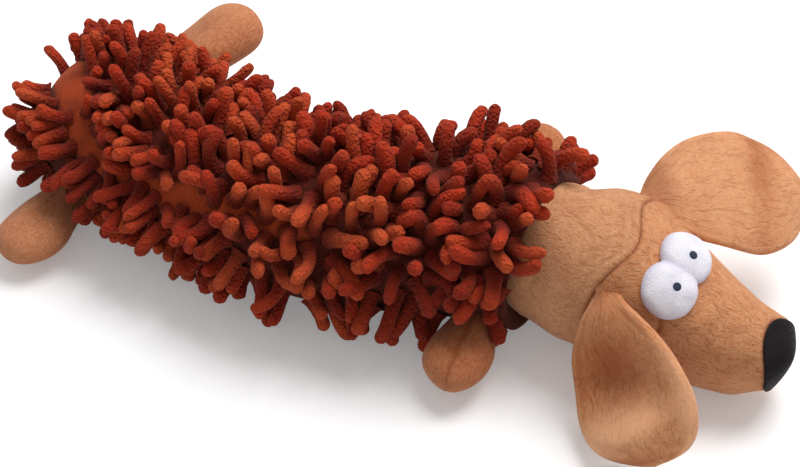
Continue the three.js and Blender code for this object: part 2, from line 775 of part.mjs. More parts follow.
// Ears: an outer layer and a lining, each a rounded leaf that bulges along and cups across
function earPlace(ear) {
  const { point } = headSkin(ear.fromShare, ear.side * radians(earTurn));
  const yaw = radians(ear.yaw);
  const droop = radians(ear.droop);
  const roll = radians(ear.roll);
  const ahead = new THREE.Vector3(Math.cos(yaw), Math.sin(yaw), 0);
  const along = ahead.multiplyScalar(Math.cos(droop)).addScaledVector(zAxis, -Math.sin(droop));
  const level = new THREE.Vector3(-Math.sin(yaw), Math.cos(yaw), 0);
  const steep = along.clone().cross(level);
  const across = level.clone().multiplyScalar(Math.cos(roll)).addScaledVector(steep, Math.sin(roll));
  const out = along.clone().cross(across);
  if (out.z < 0) {
    across.negate();
    out.negate();
  }
  return { root: point.addScaledVector(out, earStandOff), along, across, out };
}

// Half-width share of an ear at a share of its length
function earSpread(share) {
  const place = THREE.MathUtils.clamp(share, 0, 1) * (earWidthShares.length - 1);
  const low = Math.min(Math.floor(place), earWidthShares.length - 2);
  return THREE.MathUtils.lerp(earWidthShares[low], earWidthShares[low + 1], place - low);
}

function earLayerForm(ear, lift) {
  const { root, along, across, out } = earPlace(ear);
  const profile = formProfile(earLength, earRootDome, earTipDome, earRuns, earDomeSteps, domeShare);
  return lofted(profile, earSides, (station, left, up) => {
    const full = Math.hypot(left, up);
    const cosine = full > 0 ? left / full : 0;
    const sine = full > 0 ? up / full : 0;
    const share = station / earLength;
    const sideways = full * Math.sign(cosine) * Math.abs(cosine) ** domeShare * earSpread(share);
    const thick = Math.sign(sine) * Math.abs(sine) ** (domeShare / 2) * Math.min(1, 2 * full);
    const height = earBulge * Math.sin(Math.PI * share) - earCup * sideways * sideways * share;
    return root.clone()
      .addScaledVector(along, station)
      .addScaledVector(across, (sideways * earWidth) / 2)
      .addScaledVector(out, height + lift + (thick * earLayer) / 2);
  });
}

// The room that the head takes up, seen from an ear, as the ear lifts and drops about its root
function headRoom(ear) {
  const { root, across } = earPlace(ear);
  const lifted = turned(headClear, root, across, earLift);
  const dropped = turned(headClear, root, across, -earDrop);
  return headClear.add(lifted).add(dropped);
}

function earPieces(ear) {
  const group = new THREE.Group();
  const lift = (earLayer + earLayerGap) / 2;
  const room = headRoom(ear);
  group.add(piece(`${ear.name}_outer`, earLayerForm(ear, lift).subtract(room), 'plush'));
  group.add(piece(`${ear.name}_lining`, earLayerForm(ear, -lift).subtract(room), 'plush'));
  return group;
}

for (const ear of ears) {
  head.add(earPieces(ear));
}
neck.add(head);
const toy = new THREE.Group();
toy.add(torso);
for (const leg of legs) {
  toy.add(legPieces(leg));
}
toy.add(neck);

export default toy;
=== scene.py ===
import json
import math
import random

import bmesh
import bpy
import numpy as np
from mathutils import Matrix, Vector, kdtree


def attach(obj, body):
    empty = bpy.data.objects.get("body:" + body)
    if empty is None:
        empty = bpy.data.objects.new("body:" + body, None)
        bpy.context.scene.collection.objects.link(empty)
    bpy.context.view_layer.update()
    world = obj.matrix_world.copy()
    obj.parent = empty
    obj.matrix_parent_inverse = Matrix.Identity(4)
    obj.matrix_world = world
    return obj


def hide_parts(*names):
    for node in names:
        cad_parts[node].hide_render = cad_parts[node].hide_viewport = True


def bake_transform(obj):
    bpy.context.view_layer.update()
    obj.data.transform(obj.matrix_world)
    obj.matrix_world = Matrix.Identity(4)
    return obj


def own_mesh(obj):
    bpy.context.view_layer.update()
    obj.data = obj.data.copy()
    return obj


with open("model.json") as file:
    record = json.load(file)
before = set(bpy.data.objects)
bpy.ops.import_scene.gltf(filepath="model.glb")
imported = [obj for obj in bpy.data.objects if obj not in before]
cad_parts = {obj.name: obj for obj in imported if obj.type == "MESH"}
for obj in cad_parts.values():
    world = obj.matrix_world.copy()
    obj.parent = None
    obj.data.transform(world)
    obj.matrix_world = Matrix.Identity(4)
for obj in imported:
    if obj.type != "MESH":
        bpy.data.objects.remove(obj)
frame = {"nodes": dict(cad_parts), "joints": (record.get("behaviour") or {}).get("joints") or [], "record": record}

bl_info = {
    "name": "Mop-bodied plush dog",
    "version": (1, 0, 0),
    "blender": (4, 5, 0),
    "location": "3D View > Sidebar > Plush dog",
    "description": "Sews the fabric, pile, ears, paws and face of a mop-bodied soft dog round its frame",
    "category": "Object",
}

# Lengths are in millimetres until a mesh is made, and angles in radians unless a comment says degrees.
MM = 0.001
JOINTS = {joint["name"]: joint for joint in frame["joints"]}


# Plain helpers

def unit(v):
    v = np.asarray(v, float)
    return v / np.linalg.norm(v)


def joint_place(name):
    return np.array(JOINTS[name]["pos_m"]) / MM


def smoothstep(x, low, high):
    t = np.clip((x - low) / (high - low), 0, 1)
    return t * t * (3 - 2 * t)


def hump(x, middle, reach):
    """A smooth hump, one high at its middle."""
    return np.exp(-(((x - middle) / reach) ** 2))


def flowing(x, stations, values, reach):
    """A value read off a row of them, with its corners eased over this reach."""
    return np.interp(x + np.linspace(-reach, reach, 7), stations, values).mean()


def dome(depth, reach):
    """How full a rounded end is, this far in from its tip."""
    return (1 - (1 - np.clip(depth / reach, 0, 1)) ** 2.5) ** 0.4


def smooth_noise(seed, reach, waves=24):
    """A gentle three-way noise over space, made of fixed waves."""
    rng = np.random.default_rng(seed)
    ways = rng.normal(size=(waves, 3)) / reach
    phases = rng.uniform(0, 2 * math.pi, (3, waves))
    return lambda p: np.sin(np.asarray(p) @ ways.T + phases).sum(-1) / math.sqrt(waves / 2)


def turns(around, start=-math.pi):
    """Even turns once round. A turn of none is the top, and the first lies below unless told."""
    return [2 * math.pi * k / around + start for k in range(around)]


def swept(stations, angles, spot):
    """Rings of points with their marks, from a function that gives both at a station and an angle."""
    made = [[spot(s, angle) for angle in angles] for s in stations]
    return [[p for p, *_ in ring] for ring in made], np.array([mark for ring in made for _, *mark in ring])


def above(p, floor):
    """The point, lifted to this height where it lies lower."""
    p[2] = max(p[2], floor)
    return p


# Sizes and places

TAIL, COLLAR = 130.0, 95.0
BODY_HALF_WIDTH, WAIST_SHARE, HIP_HEIGHT, CHEST_HEIGHT = 34.0, 0.04, 58.0, 64.0
TAIL_DOME, BELLY_SINK = 34.0, 0.5
# The body sways sideways to its tail, and from here over this length to its collar.
TAIL_SWAY, SWAY_START, SWAY_LENGTH = 10.0, -5.0, COLLAR + 10
NECK_JOINT, HEAD_JOINT = joint_place("neck_turn"), joint_place("head_nod")
MIDDLE_Y, MIDDLE_Z = NECK_JOINT[1:]
NECK_BALL, NECK_RADIUS, NECK_END, HEAD_LENGTH = 28.3, 31.0, 126, 64.5
NECK_SEAM, BROW_REACH, NOSE_SEAM, NOSE_SEAM_HEIGHT = 129.2, 9.5, 195.4, 23.1
EAR_SWELL, CHIN_TUCK = 3.0, 2.6
NOSE_TIP = np.array((201.6, MIDDLE_Y, 27.0))
# Rows of station, half-width, half-height and centre height, as shares of the neck's.
HEAD_PROFILE = np.array((
    (-1, 1, 1, 1), (-0.35, 1, 1, 1), (-0.02, 0.97, 0.97, 1), (0.12, 1.02, 1, 0.98), (0.36, 0.88, 0.88, 0.88),
    (0.58, 0.72, 0.73, 0.76), (0.82, 0.58, 0.62, 0.69), (1, 0.48, 0.52, 0.7), (1.2, 0.44, 0.48, 0.7),
))
# Rolls and creases by a seam, on the neck, on the head and at the nose: height, distance and reach.
NECK_ROLLS = ((0.35, 2.2, 1.5), (0.25, 6.5, 1.3), (-0.35, 4.4, 0.7), (-0.7, 0, 0.7))
HEAD_ROLLS, NOSE_ROLLS = ((0.3, 2.4, 1.6), (-0.7, 0, 0.7)), ((-0.9, 0, 0.8),)
# Stations and turns in degrees along the dart that runs down the near cheek.
CHEEK_DART = ((154.5, -44), (156.3, -52), (156.6, -60), (155.5, -70), (153.0, -82))
# For each eye lobe: station and turn in degrees, radius, and how far forward and sideways its pupil sits.
EYES = {"right_pupil": (154.6, -27.8, 10.9, 0.75, 1.45), "left_pupil": (154.2, 3.2, 10.6, 0.55, -1.65)}
EYE_PUFF, EYE_LIFT, EYE_MIDDLE = 6.0, 1.6, (155.5, -13)
# Rings of a pupil's dot: radius and height.
PUPIL_DOT = ((1.3, -1.4), (1.6, -0.9), (1.66, -0.1), (1.45, 0.12), (1.0, 0.24), (0.5, 0.3))
# Which way each ear hangs, in degrees: its heading, and how far it drops.
EARS = {"right_ear": (-34.5, 42), "left_ear": (47.0, 11)}
EAR_LENGTH, EAR_HALF_WIDTH, EAR_TIP_DOME, EAR_ROOT_DOME, EAR_HALF_THICKNESS = 67.0, 25.0, 30.0, 9.0, 1.75
# Widths from an ear's root to its tip, as shares of the greatest, the second where the root is sewn on wider.
EAR_WIDTHS, EAR_FULL_WIDTHS = (0.14, 0.62, 0.88, 1, 1, 0.96), (0.42, 0.88, 1.02, 1.04, 1, 0.96)
# The row of machine sewing in from the ear's edge: how deep, how far in, and how wide.
EAR_SEWING = (0.22, 3.2, 0.9)
PAW_TIP_DOME, PAW_ROOT_SHARE, PAW_ROOT_HIDDEN = 19.0, 0.7, 13.0
# The bare parting in the pile: how far along the body it runs, and its turn from the top in degrees.
PARTING = np.array((
    (-124, -4), (-104, -27), (-95, -40), (-87, -56), (-74, -60),
    (-59, -57), (-43, -60), (-25, -54), (-8, -48), (12, -44),
), float)
# A noodle's girth along its length, as shares of its own, from the root to the rounded tip.
STATIONS = np.array((0, 0.14, 0.36, 0.6, 0.8, 0.9, 0.96, 0.99, 1.0))
GIRTHS = np.array((1.5, 1.12, 0.97, 0.98, 0.99, 0.88, 0.64, 0.36, 0.06))
NOODLE_SEED = 11
# How far noodles lean with the pile's flow, lean by chance and bend by chance: at the tail, and how much
# more at the chest.
LEANS = ((0.2, 0.12), (0.3, 0.08), (0.22, 0.16))
# Where the noodles stand: the first row, the lowest root, how far a root goes into the cover, and how far
# chance moves it round and along, as shares of the step between roots.
FIRST_ROW, LOWEST_ROOT, ROOT_SINK, ROOT_SHAKE = 2.2, 6, 0.6, (0.2, 0.22)
SETTLING_STEPS, SETTLING_PUSH, SPRING_BACK, SAG = 14, 0.3, 0.15, 0.02
# The least and greatest thickness and length of a noodle, as shares of the usual one.
NOODLE_THICKNESSES, NOODLE_LENGTHS = (0.84, 1.1), (0.66, 1.14)
# A noodle's tip is this share as thick as its middle, noodles may press into each other by the rest of the
# second share, and each keeps this far off the floor.
TIP_THICKNESS, PRESSED_ROOM, FLOOR_GAP = 0.92, 0.95, 0.8
# The turns in degrees of the lowest roots, along the body and at the tail's tip.
LOWEST_TURN, TAIL_LOWEST_TURN = 118, 150
# Half the parting's bare width: at the tail, up to this place, and along the rest, where it swells in waves
# and then closes by this share between two places.
TAIL_BARE, TAIL_BARE_END = 8.5, -100
STRIP_BARE, STRIP_SWELL, STRIP_WAVE, STRIP_CLOSING, STRIP_CLOSES = 2.0, 2.2, 0.16, 0.35, (-60, -20)
# Rings of the cupped collar: their share of its size, and how far ahead of it they lie.
COLLAR_CUP = ((0.94, 1.6), (0.8, -1.0), (0.55, -12), (0.25, -19))


class Paw:
    """A paw's sizes and finish, with its place and swing taken from its joint."""

    def __init__(self, name, width, length, thickness, tilt, room,
                 taper=1.1, crease=(0.3, 0.15), shade=0.0, pale=0.0):
        self.name, self.width, self.length, self.thickness = name, width, length, thickness
        self.room, self.taper, self.shade, self.pale = room, taper, shade, pale
        self.crease, self.crease_shade = crease
        self.root = joint_place(name + "_lift")
        self.left = -unit(JOINTS[name + "_lift"]["axis"])
        level, rise = np.array((self.left[1], -self.left[0], 0)), math.radians(tilt)
        self.ahead = level * math.cos(rise) + np.array((0, 0, math.sin(rise)))
        self.up = np.cross(self.ahead, self.left)
        low, high = JOINTS[name + "_lift"]["range_deg"]
        self.swing = np.radians((low, 0, high / 2, high))

    def section(self, s):
        """Half the width and half the thickness this far from the root, before the tip rounds off."""
        grown = PAW_ROOT_SHARE + (1 - PAW_ROOT_SHARE) * smoothstep(s, 0, self.length - PAW_TIP_DOME)
        return grown * self.width / 2, (grown + PAW_ROOT_SHARE) / (1 + PAW_ROOT_SHARE) * self.thickness / 2

    def point(self, s, angle, out=0.0):
        full = dome(self.length - s, PAW_TIP_DOME)
        half_width, half_thickness = self.section(s)
        wide, tall = half_width * full ** self.taper + out, half_thickness * full + out
        aside, over = self.left * (wide * math.sin(angle)), self.up * (tall * math.cos(angle))
        return self.root + self.ahead * s + aside + over


# Width, length, thickness, tilt in degrees, and the room that the pile leaves beside the paw.
# The crease gives the seam's depth and its painted shade, shade is painted shadow of the pile over the paw, and
# pale is painted light on the paw's upper side.
PAWS = (
    Paw("rear_right_leg", 29.0, 43.4, 19.0, -3, 0.0, pale=0.16),
    Paw("rear_left_leg", 31.0, 48.0, 20.0, 11, 0.3, pale=0.16),
    Paw("front_right_leg", 26.0, 35.2, 18.0, 0, 1.0, taper=1.6, crease=(0.9, 0.5), shade=0.15),
    Paw("front_left_leg", 23.2, 34.8, 17.4, 2, 1.2),
)


# The shapes of the body and head, by a station along them and a turn round them

def spine(x):
    """The body's middle line: where it is sideways, and the direction of its left."""
    share, tail = np.clip((x - SWAY_START) / SWAY_LENGTH, 0, 1), np.clip(-x / TAIL, 0, 1)
    y = (MIDDLE_Y * (1 - math.cos(math.pi * share)) + TAIL_SWAY * (1 - math.cos(math.pi * tail))) / 2
    slope = MIDDLE_Y * math.pi / (2 * SWAY_LENGTH) * math.sin(math.pi * share)
    slope -= TAIL_SWAY * math.pi / (2 * TAIL) * math.sin(math.pi * tail)
    return y, unit((-slope, 1, 0))


def body_size(x):
    """Half the body's width and height."""
    half_height = (HIP_HEIGHT + (CHEST_HEIGHT - HIP_HEIGHT) * smoothstep(x, -65, COLLAR)) / 2
    return BODY_HALF_WIDTH * (1 - WAIST_SHARE * math.cos(math.pi * x / TAIL)), half_height


def body_point(x, turn):
    y, left = spine(x)
    half_width, half_height = body_size(x)
    full = dome(x + TAIL, TAIL_DOME)
    a, u = full * math.sin(turn) * half_width, full * math.cos(turn) * half_height
    return np.array((x + left[0] * a, y + left[1] * a, max(0.0, half_height - BELLY_SINK + u)))


def body_normal(x, turn):
    e = 0.01
    ahead = body_point(min(x + 0.5, COLLAR), turn) - body_point(max(x - 0.5, e - TAIL), turn)
    normal = np.cross(ahead, body_point(x, turn + e) - body_point(x, turn - e))
    return unit(normal) if np.linalg.norm(normal) > 1e-9 else np.array((-1.0, 0, 0))


def head_size(x):
    """Half the head's width and height, and how high its middle lies."""
    station = (x - HEAD_JOINT[0]) / HEAD_LENGTH
    wide, tall, middle = (flowing(station, HEAD_PROFILE[:, 0], HEAD_PROFILE[:, k], 0.05) for k in (1, 2, 3))
    return NECK_RADIUS * wide, NECK_RADIUS * tall, MIDDLE_Z * middle


def head_swell(x, turn):
    """How far the skin stands out by the far ear's root, and in where the chin turns up to the nose."""
    by_ear = hump(math.degrees(turn), 62, 34) * smoothstep(x, 106, 122) * (1 - smoothstep(x, 134, 144))
    by_chin = max(0.0, math.cos(turn + 2.36)) * smoothstep(x, 183, 198)
    return EAR_SWELL * by_ear - CHIN_TUCK * by_chin


def head_point(x, turn, out=0.0):
    wide, tall, middle = head_size(x)
    out = out + head_swell(x, turn)
    return np.array((x, MIDDLE_Y + (wide + out) * math.sin(turn), middle + (tall + out) * math.cos(turn)))


def head_normal(x, turn):
    around = head_point(x, turn + 0.01) - head_point(x, turn - 0.01)
    ahead = head_point(x + 0.5, turn) - head_point(x - 0.5, turn)
    return unit(np.cross(ahead, around))


def neck_seam(turn):
    """Where the neck meets the head, which runs further forward over the brow."""
    return NECK_SEAM + BROW_REACH * hump(math.degrees(turn), -13, 29)


def nose_seam(turn):
    """Where the leaning seam of the nose crosses the muzzle."""
    z = head_point(196.0, turn)[2] - NOSE_SEAM_HEIGHT
    return NOSE_SEAM - (0.31 if z > 0 else 0.05) * z + 2.2 * hump(abs(math.degrees(turn)), 58, 32)


def rolled(distance, rolls):
    """How far a row of rolls and creases lifts the skin at this distance from its seam."""
    return sum(height * hump(distance, middle, reach) for height, middle, reach in rolls)


def seam_ring(seam, ahead, inward, around):
    """A ring tucked in behind a seam, which closes the skin out of sight."""
    return [head_point(seam(t) + ahead, t, -inward) for t in turns(around)]


def cheek_line(out=0.0):
    return [head_point(x, math.radians(degrees), out) for x, degrees in CHEEK_DART]


# Meshes

def new_object(name, points, faces=(), edges=()):
    """An object with its own mesh, from points in millimetres."""
    mesh = bpy.data.meshes.new(name)
    mesh.from_pydata([tuple(p) for p in np.asarray(points, float) * MM], edges, faces)
    mesh.update()
    mesh.shade_smooth()
    made = bpy.data.objects.new(name, mesh)
    bpy.context.scene.collection.objects.link(made)
    return made


def face_outwards(made):
    shape = bmesh.new()
    shape.from_mesh(made.data)
    bmesh.ops.recalc_face_normals(shape, faces=shape.faces)
    shape.to_mesh(made.data)
    shape.free()


def skin(name, rows, start, end, **marks):
    """A closed skin of rings between two poles, with a UV map in metres: around, then along."""
    rows = np.asarray(rows, float)
    count, around = rows.shape[:2]
    along = np.append(0, np.cumsum(np.linalg.norm(np.diff(rows, axis=0), axis=2).mean(1)))
    across = np.append(0, np.cumsum(np.linalg.norm(rows - np.roll(rows, -1, 1), axis=2).mean(0)))
    across -= across[-1] / 2
    faces, uvs = [], []
    for i in range(count - 1):
        near, far = i * around, (i + 1) * around
        for j in range(around):
            k = (j + 1) % around
            faces.append((near + j, near + k, far + k, far + j))
            uvs += [(across[j], along[i]), (across[j + 1], along[i])]
            uvs += [(across[j + 1], along[i + 1]), (across[j], along[i + 1])]
    for pole, row, top, way in ((start, 0, count * around, -1), (end, count - 1, count * around + 1, 1)):
        reach = np.linalg.norm(rows[row] - np.asarray(pole), axis=1).mean() * way
        for j in range(around):
            faces.append((row * around + j, row * around + (j + 1) % around, top))
            uvs += [(across[j], along[row]), (across[j + 1], along[row])]
            uvs.append(((across[j] + across[j + 1]) / 2, along[row] + reach))
    made = new_object(name, [*rows.reshape(-1, 3), start, end], faces)
    made.data.uv_layers.new(name="Nap").data.foreach_set("uv", (np.array(uvs) * MM).ravel())
    face_outwards(made)
    for title, values in marks.items():
        set_attribute(made, title, [*values, 0, 0])
    return made


def set_attribute(made, name, values):
    attribute = made.data.attributes.new(name, "FLOAT", "POINT")
    attribute.data.foreach_set("value", np.asarray(values, np.float32))


def flatten(made):
    """Turns what the modifiers make into the piece's own plain mesh."""
    graph = bpy.context.evaluated_depsgraph_get()
    old, made.data = made.data, bpy.data.meshes.new_from_object(made.evaluated_get(graph))
    made.modifiers.clear()
    made.data.name = made.name
    bpy.data.meshes.remove(old)
    return made


def dress(made, finish, slot, *nodes, body=None):
    """Gives a piece its finish, the nodes that it replaces and the body that it rides on. The slot is not used."""
    made.data.materials.clear()
    made.data.materials.append(finishes[finish])
    if nodes:
        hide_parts(*nodes)
    if body:
        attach(made, body)


# Node trees

class Wiring:
    """Adds nodes to a tree from left to right, and joins them."""

    def __init__(self, tree):
        self.tree, self.count = tree, 0

    def add(self, kind, settings=None, **inputs):
        node = self.tree.nodes.new(kind)
        node.location = (180 * (self.count % 8), -220 * (self.count // 8))
        self.count += 1
        for name, value in (settings or {}).items():
            setattr(node, name, value)
        for name, value in inputs.items():
            self.put(node, name.replace("_", " "), value)
        return node

    def put(self, node, name, value):
        socket = node.inputs[int(name)] if name.isdigit() else node.inputs[name]
        if isinstance(value, bpy.types.NodeSocket):
            self.tree.links.new(value, socket)
        else:
            socket.default_value = value

    def math(self, operation, a, b):
        node = self.add("ShaderNodeMath", {"operation": operation})
        self.put(node, "0", a)
        self.put(node, "1", b)
        return node.outputs[0]

    def vector(self, operation, a, b):
        node = self.add("ShaderNodeVectorMath", {"operation": operation})
        self.put(node, "0", a)
        self.put(node, "Scale" if operation == "SCALE" else "1", b)
        return node.outputs[0]

    def spread(self, value, low, high, to_low=0.0, to_high=1.0):
        node = self.add("ShaderNodeMapRange", {"interpolation_type": "SMOOTHSTEP"}, Value=value,
                        From_Min=low, From_Max=high, To_Min=to_low, To_Max=to_high)
        return node.outputs["Result"]

    def mix(self, share, a, b):
        node = self.add("ShaderNodeMix", {"data_type": "RGBA"})
        for k, value in ((0, share), (6, a), (7, b)):
            self.put(node, str(k), value)
        return node.outputs[2]

    def layer(self, tone, over, mask, share):
        """A tone with another laid over it, where the mask says and by this share."""
        return self.mix(self.math("MULTIPLY", mask, share), tone, over)

    def noise(self, vector, scale, detail=2.0, rough=0.5, warp=0.0):
        node = self.add("ShaderNodeTexNoise", None, Vector=vector, Scale=scale, Detail=detail,
                        Roughness=rough, Distortion=warp)
        return node.outputs["Fac"]

    def attribute(self, name):
        return self.add("ShaderNodeAttribute", {"attribute_name": name}).outputs["Fac"]

    def place(self):
        return self.add("ShaderNodeTexCoord").outputs["Object"]


def new_tree(name, kind, inputs, outputs):
    """A node group with these sockets: its tree, its wiring, its given values and its end."""
    tree = bpy.data.node_groups.new(name, kind)
    for way, sockets in (("INPUT", inputs), ("OUTPUT", outputs)):
        for title, socket_kind, *default in sockets:
            socket = tree.interface.new_socket(name=title, in_out=way, socket_type="NodeSocket" + socket_kind)
            if default:
                socket.default_value = default[0]
    w = Wiring(tree)
    return tree, w, w.add("NodeGroupInput").outputs, w.add("NodeGroupOutput")


# Finishes

finishes = {}
FINISH_OUTPUTS = (("Color", "Color"), ("Height", "Float"), ("Roughness", "Float"))


def colour(r, g, b):
    """A colour as a screen shows it, made linear."""
    shown = (c / 255 for c in (r, g, b))
    return tuple(c / 12.92 if c <= 0.04 else ((c + 0.055) / 1.055) ** 2.4 for c in shown) + (1.0,)


def chosen(name):
    """One of the colours that the user can change."""
    return tuple(getattr(bpy.context.scene.plush_dog_colours, name)) + (1,)


def nap_group():
    """Short brushed pile: fine fibres that lie along V, soft clumps, and dashes where the pile parts."""
    tree, w, g, out = new_tree("Short nap", "ShaderNodeTree", (
        ("Vector", "Vector"), ("Base", "Color", (0.5, 0.3, 0.15, 1)),
        ("Shade", "Color", (0.3, 0.12, 0.05, 1)), ("Light", "Color", (0.8, 0.5, 0.3, 1)),
        ("Fibre Width", "Float", 0.0005), ("Fibre Length", "Float", 0.0016),
        ("Dashes", "Float", 0.5), ("Swirl", "Float", 0.002),
    ), FINISH_OUTPUTS)
    slow = w.add("ShaderNodeTexNoise", None, Vector=g["Vector"], Scale=70.0, Detail=1.0).outputs["Color"]
    pull = w.vector("SCALE", w.vector("SUBTRACT", slow, (0.5, 0.5, 0.5)), w.math("MULTIPLY", g["Swirl"], 4.0))
    swirled = w.vector("ADD", g["Vector"], pull)
    size = w.add("ShaderNodeCombineXYZ", None, X=g["Fibre Width"], Y=g["Fibre Length"], Z=g["Fibre Width"])
    fine = w.vector("DIVIDE", swirled, size.outputs[0])
    fibres, dashes = w.noise(fine, 1.0, 3.0, 0.6, 0.6), w.noise(fine, 0.36, 2.0, 0.6, 0.7)
    clumps, broad = w.noise(swirled, 260.0), w.noise(g["Vector"], 45.0, 1.0)
    marks = w.math("MULTIPLY", w.spread(dashes, 0.5, 0.68), g["Dashes"])
    tone = w.mix(w.spread(fibres, 0.35, 0.7), g["Base"], g["Light"])
    patches, darkened = w.spread(clumps, 0.45, 0.75), w.spread(broad, 0.45, 0.7)
    for mask, share in ((patches, 0.18), (darkened, 0.16), (marks, 0.5)):
        tone = w.layer(tone, g["Shade"], mask, share)
    height = w.math("ADD", w.math("MULTIPLY", fibres, 0.5), w.math("MULTIPLY", clumps, 0.4))
    w.put(out, "Color", tone)
    w.put(out, "Height", w.math("SUBTRACT", height, w.math("MULTIPLY", marks, 0.45)))
    w.put(out, "Roughness", w.spread(clumps, 0.3, 0.7, 0.78, 0.95))
    return tree


def chenille_group():
    """Fuzzy twisted yarn: close small tufts, with painted shade round the root of each and a paler crown on each.
    """
    tree, w, g, out = new_tree("Chenille", "ShaderNodeTree", (
        ("Vector", "Vector"), ("Base", "Color", (0.2, 0.03, 0.01, 1)),
        ("Shade", "Color", (0.06, 0.006, 0.003, 1)), ("Light", "Color", (0.4, 0.1, 0.03, 1)),
        ("Tuft", "Float", 0.0011), ("Tone", "Float", 0.5),
    ), FINISH_OUTPUTS)
    scale = w.math("DIVIDE", 1.0, g["Tuft"])
    cell = w.add("ShaderNodeTexVoronoi", {"feature": "SMOOTH_F1"}, Vector=g["Vector"], Scale=scale,
                 Smoothness=0.7, Randomness=1.0)
    tufts = w.spread(cell.outputs["Distance"], 0.1, 0.7, 1.0, 0.0)
    fuzz, patch = w.noise(g["Vector"], w.math("MULTIPLY", scale, 1.7), 2.0, 0.6), w.noise(g["Vector"], 90.0)
    tone = g["Base"]
    for over, mask, share in (
        ("Light", w.spread(g["Tone"], 0.35, 1.0), 0.8),
        ("Shade", w.spread(g["Tone"], 0.0, 0.4, 1.0, 0.0), 0.55),
        # Painted shade in the crevices round each tuft.
        ("Shade", w.spread(tufts, 0.0, 0.6, 1.0, 0.0), 0.2),
        ("Light", w.spread(fuzz, 0.5, 0.75), 0.4),
        ("Shade", w.spread(patch, 0.45, 0.75), 0.35),
    ):
        tone = w.layer(tone, g[over], mask, share)
    w.put(out, "Color", tone)
    w.put(out, "Height", w.math("ADD", tufts, w.math("MULTIPLY", fuzz, 0.5)))
    w.put(out, "Roughness", w.spread(fuzz, 0.3, 0.7, 0.8, 0.98))
    return tree


def new_material(name, shown, sheen=0.3, sheen_rough=0.5, tint=(1, 1, 1, 1), rough=0.85, shine=0.2):
    material = bpy.data.materials.new(name)
    material.use_nodes = True
    material.diffuse_color = shown
    material.node_tree.nodes.clear()
    w = Wiring(material.node_tree)
    end = w.add("ShaderNodeOutputMaterial")
    shader = w.add("ShaderNodeBsdfPrincipled", None, Roughness=rough, Sheen_Weight=sheen,
                   Sheen_Roughness=sheen_rough, Sheen_Tint=tint, Specular_IOR_Level=shine)
    w.put(end, "Surface", shader.outputs[0])
    return material, w, shader


def raise_bump(w, shader, height, distance):
    bump = w.add("ShaderNodeBump", None, Strength=1.0, Distance=distance, Height=height)
    w.put(shader, "Normal", bump.outputs[0])


def plush_material(name, nap, base, shade, light, brushed, dashes, swirl, length):
    """Tan plush, darker with painted shade in seams, creases and hollows, and paler with painted light where a
    piece turns up to the lamp.
    """
    base, shade, light, brushed = map(chosen, (base, shade, light, brushed))
    material, w, shader = new_material(name, base, 0.2, 0.4, (1.0, 0.86, 0.74, 1))
    uv = w.add("ShaderNodeUVMap", {"uv_map": "Nap"}).outputs[0]
    fur = w.add("ShaderNodeGroup", {"node_tree": nap}, Vector=uv, Base=base, Shade=shade, Light=light,
                Dashes=dashes, Swirl=swirl, Fibre_Length=length).outputs
    # Painted shade: the shade attribute darkens the plush toward its shade colour in seams, creases and hollows.
    darkened = w.mix(w.attribute("shade"), fur["Color"], shade)
    # Painted light: the pale attribute mixes in the colour given as brushed where a piece turns up to the lamp.
    w.put(shader, "Base Color", w.mix(w.attribute("pale"), darkened, w.mix(0.35, brushed, fur["Color"])))
    w.put(shader, "Roughness", fur["Roughness"])
    raise_bump(w, shader, fur["Height"], 0.0005)
    return material


def pile_material(name, chenille, base, shade, light, tone, tuft, bump):
    """Rust chenille, by the tone that each place is given, with painted shade where the deep attribute says:
    toward each noodle's root and on the body's lower sides.
    """
    base, shade, light = map(chosen, (base, shade, light))
    material, w, shader = new_material(name, base, 0.08, 0.5, (1.0, 0.6, 0.4, 1))
    yarn = w.add("ShaderNodeGroup", {"node_tree": chenille}, Vector=w.place(), Base=base, Shade=shade,
                 Light=light, Tuft=tuft, Tone=w.attribute(tone)).outputs
    # Painted shade: the deep attribute darkens the yarn toward its shade colour.
    w.put(shader, "Base Color", w.layer(yarn["Color"], shade, w.attribute("deep"), 0.85))
    w.put(shader, "Roughness", yarn["Roughness"])
    raise_bump(w, shader, yarn["Height"], bump)
    return material


def eye_material():
    """White fleece, with painted violet shade round the lobes' base and in their waist."""
    cool, edge, crown = colour(236, 231, 244), colour(190, 180, 218), colour(250, 249, 255)
    material, w, shader = new_material("White fleece eye", chosen("eye"), 0.3, 0.5, (0.9, 0.88, 1.0, 1), 0.8)
    where = w.place()
    fluff, soft = w.noise(where, 1500.0, 3.0, 0.7), w.noise(where, 160.0)
    tone = w.mix(w.spread(soft, 0.35, 0.7), chosen("eye"), cool)
    # Painted shade: the shade attribute lays on the violet edge colour.
    tone = w.layer(tone, edge, w.attribute("shade"), 0.4)
    w.put(shader, "Base Color", w.layer(tone, crown, w.spread(fluff, 0.45, 0.7), 0.25))
    raise_bump(w, shader, w.math("ADD", fluff, soft), 0.0005)
    return material


def nose_material():
    """Black cloth with a fine slanting weave and a little dust."""
    faded, dusty = colour(30, 24, 27), colour(58, 48, 53)
    material, w, shader = new_material("Black nose cloth", chosen("nose"), 0.04, 0.35,
                                       (0.8, 0.7, 0.75, 1), 0.6, 0.08)
    where = w.place()
    weave = w.add("ShaderNodeTexWave", {"wave_type": "BANDS", "bands_direction": "DIAGONAL"}, Vector=where,
                  Scale=420.0, Distortion=1.5, Detail=2.0).outputs["Fac"]
    dust, broad = w.noise(where, 700.0, 3.0, 0.7), w.noise(where, 80.0)
    tone = w.mix(w.spread(broad, 0.35, 0.7), chosen("nose"), faded)
    w.put(shader, "Base Color", w.layer(tone, dusty, w.spread(dust, 0.55, 0.8), 0.3))
    w.put(shader, "Roughness", w.spread(dust, 0.3, 0.8, 0.55, 0.8))
    raise_bump(w, shader, w.math("ADD", w.math("MULTIPLY", weave, 0.3), dust), 0.00012)
    return material


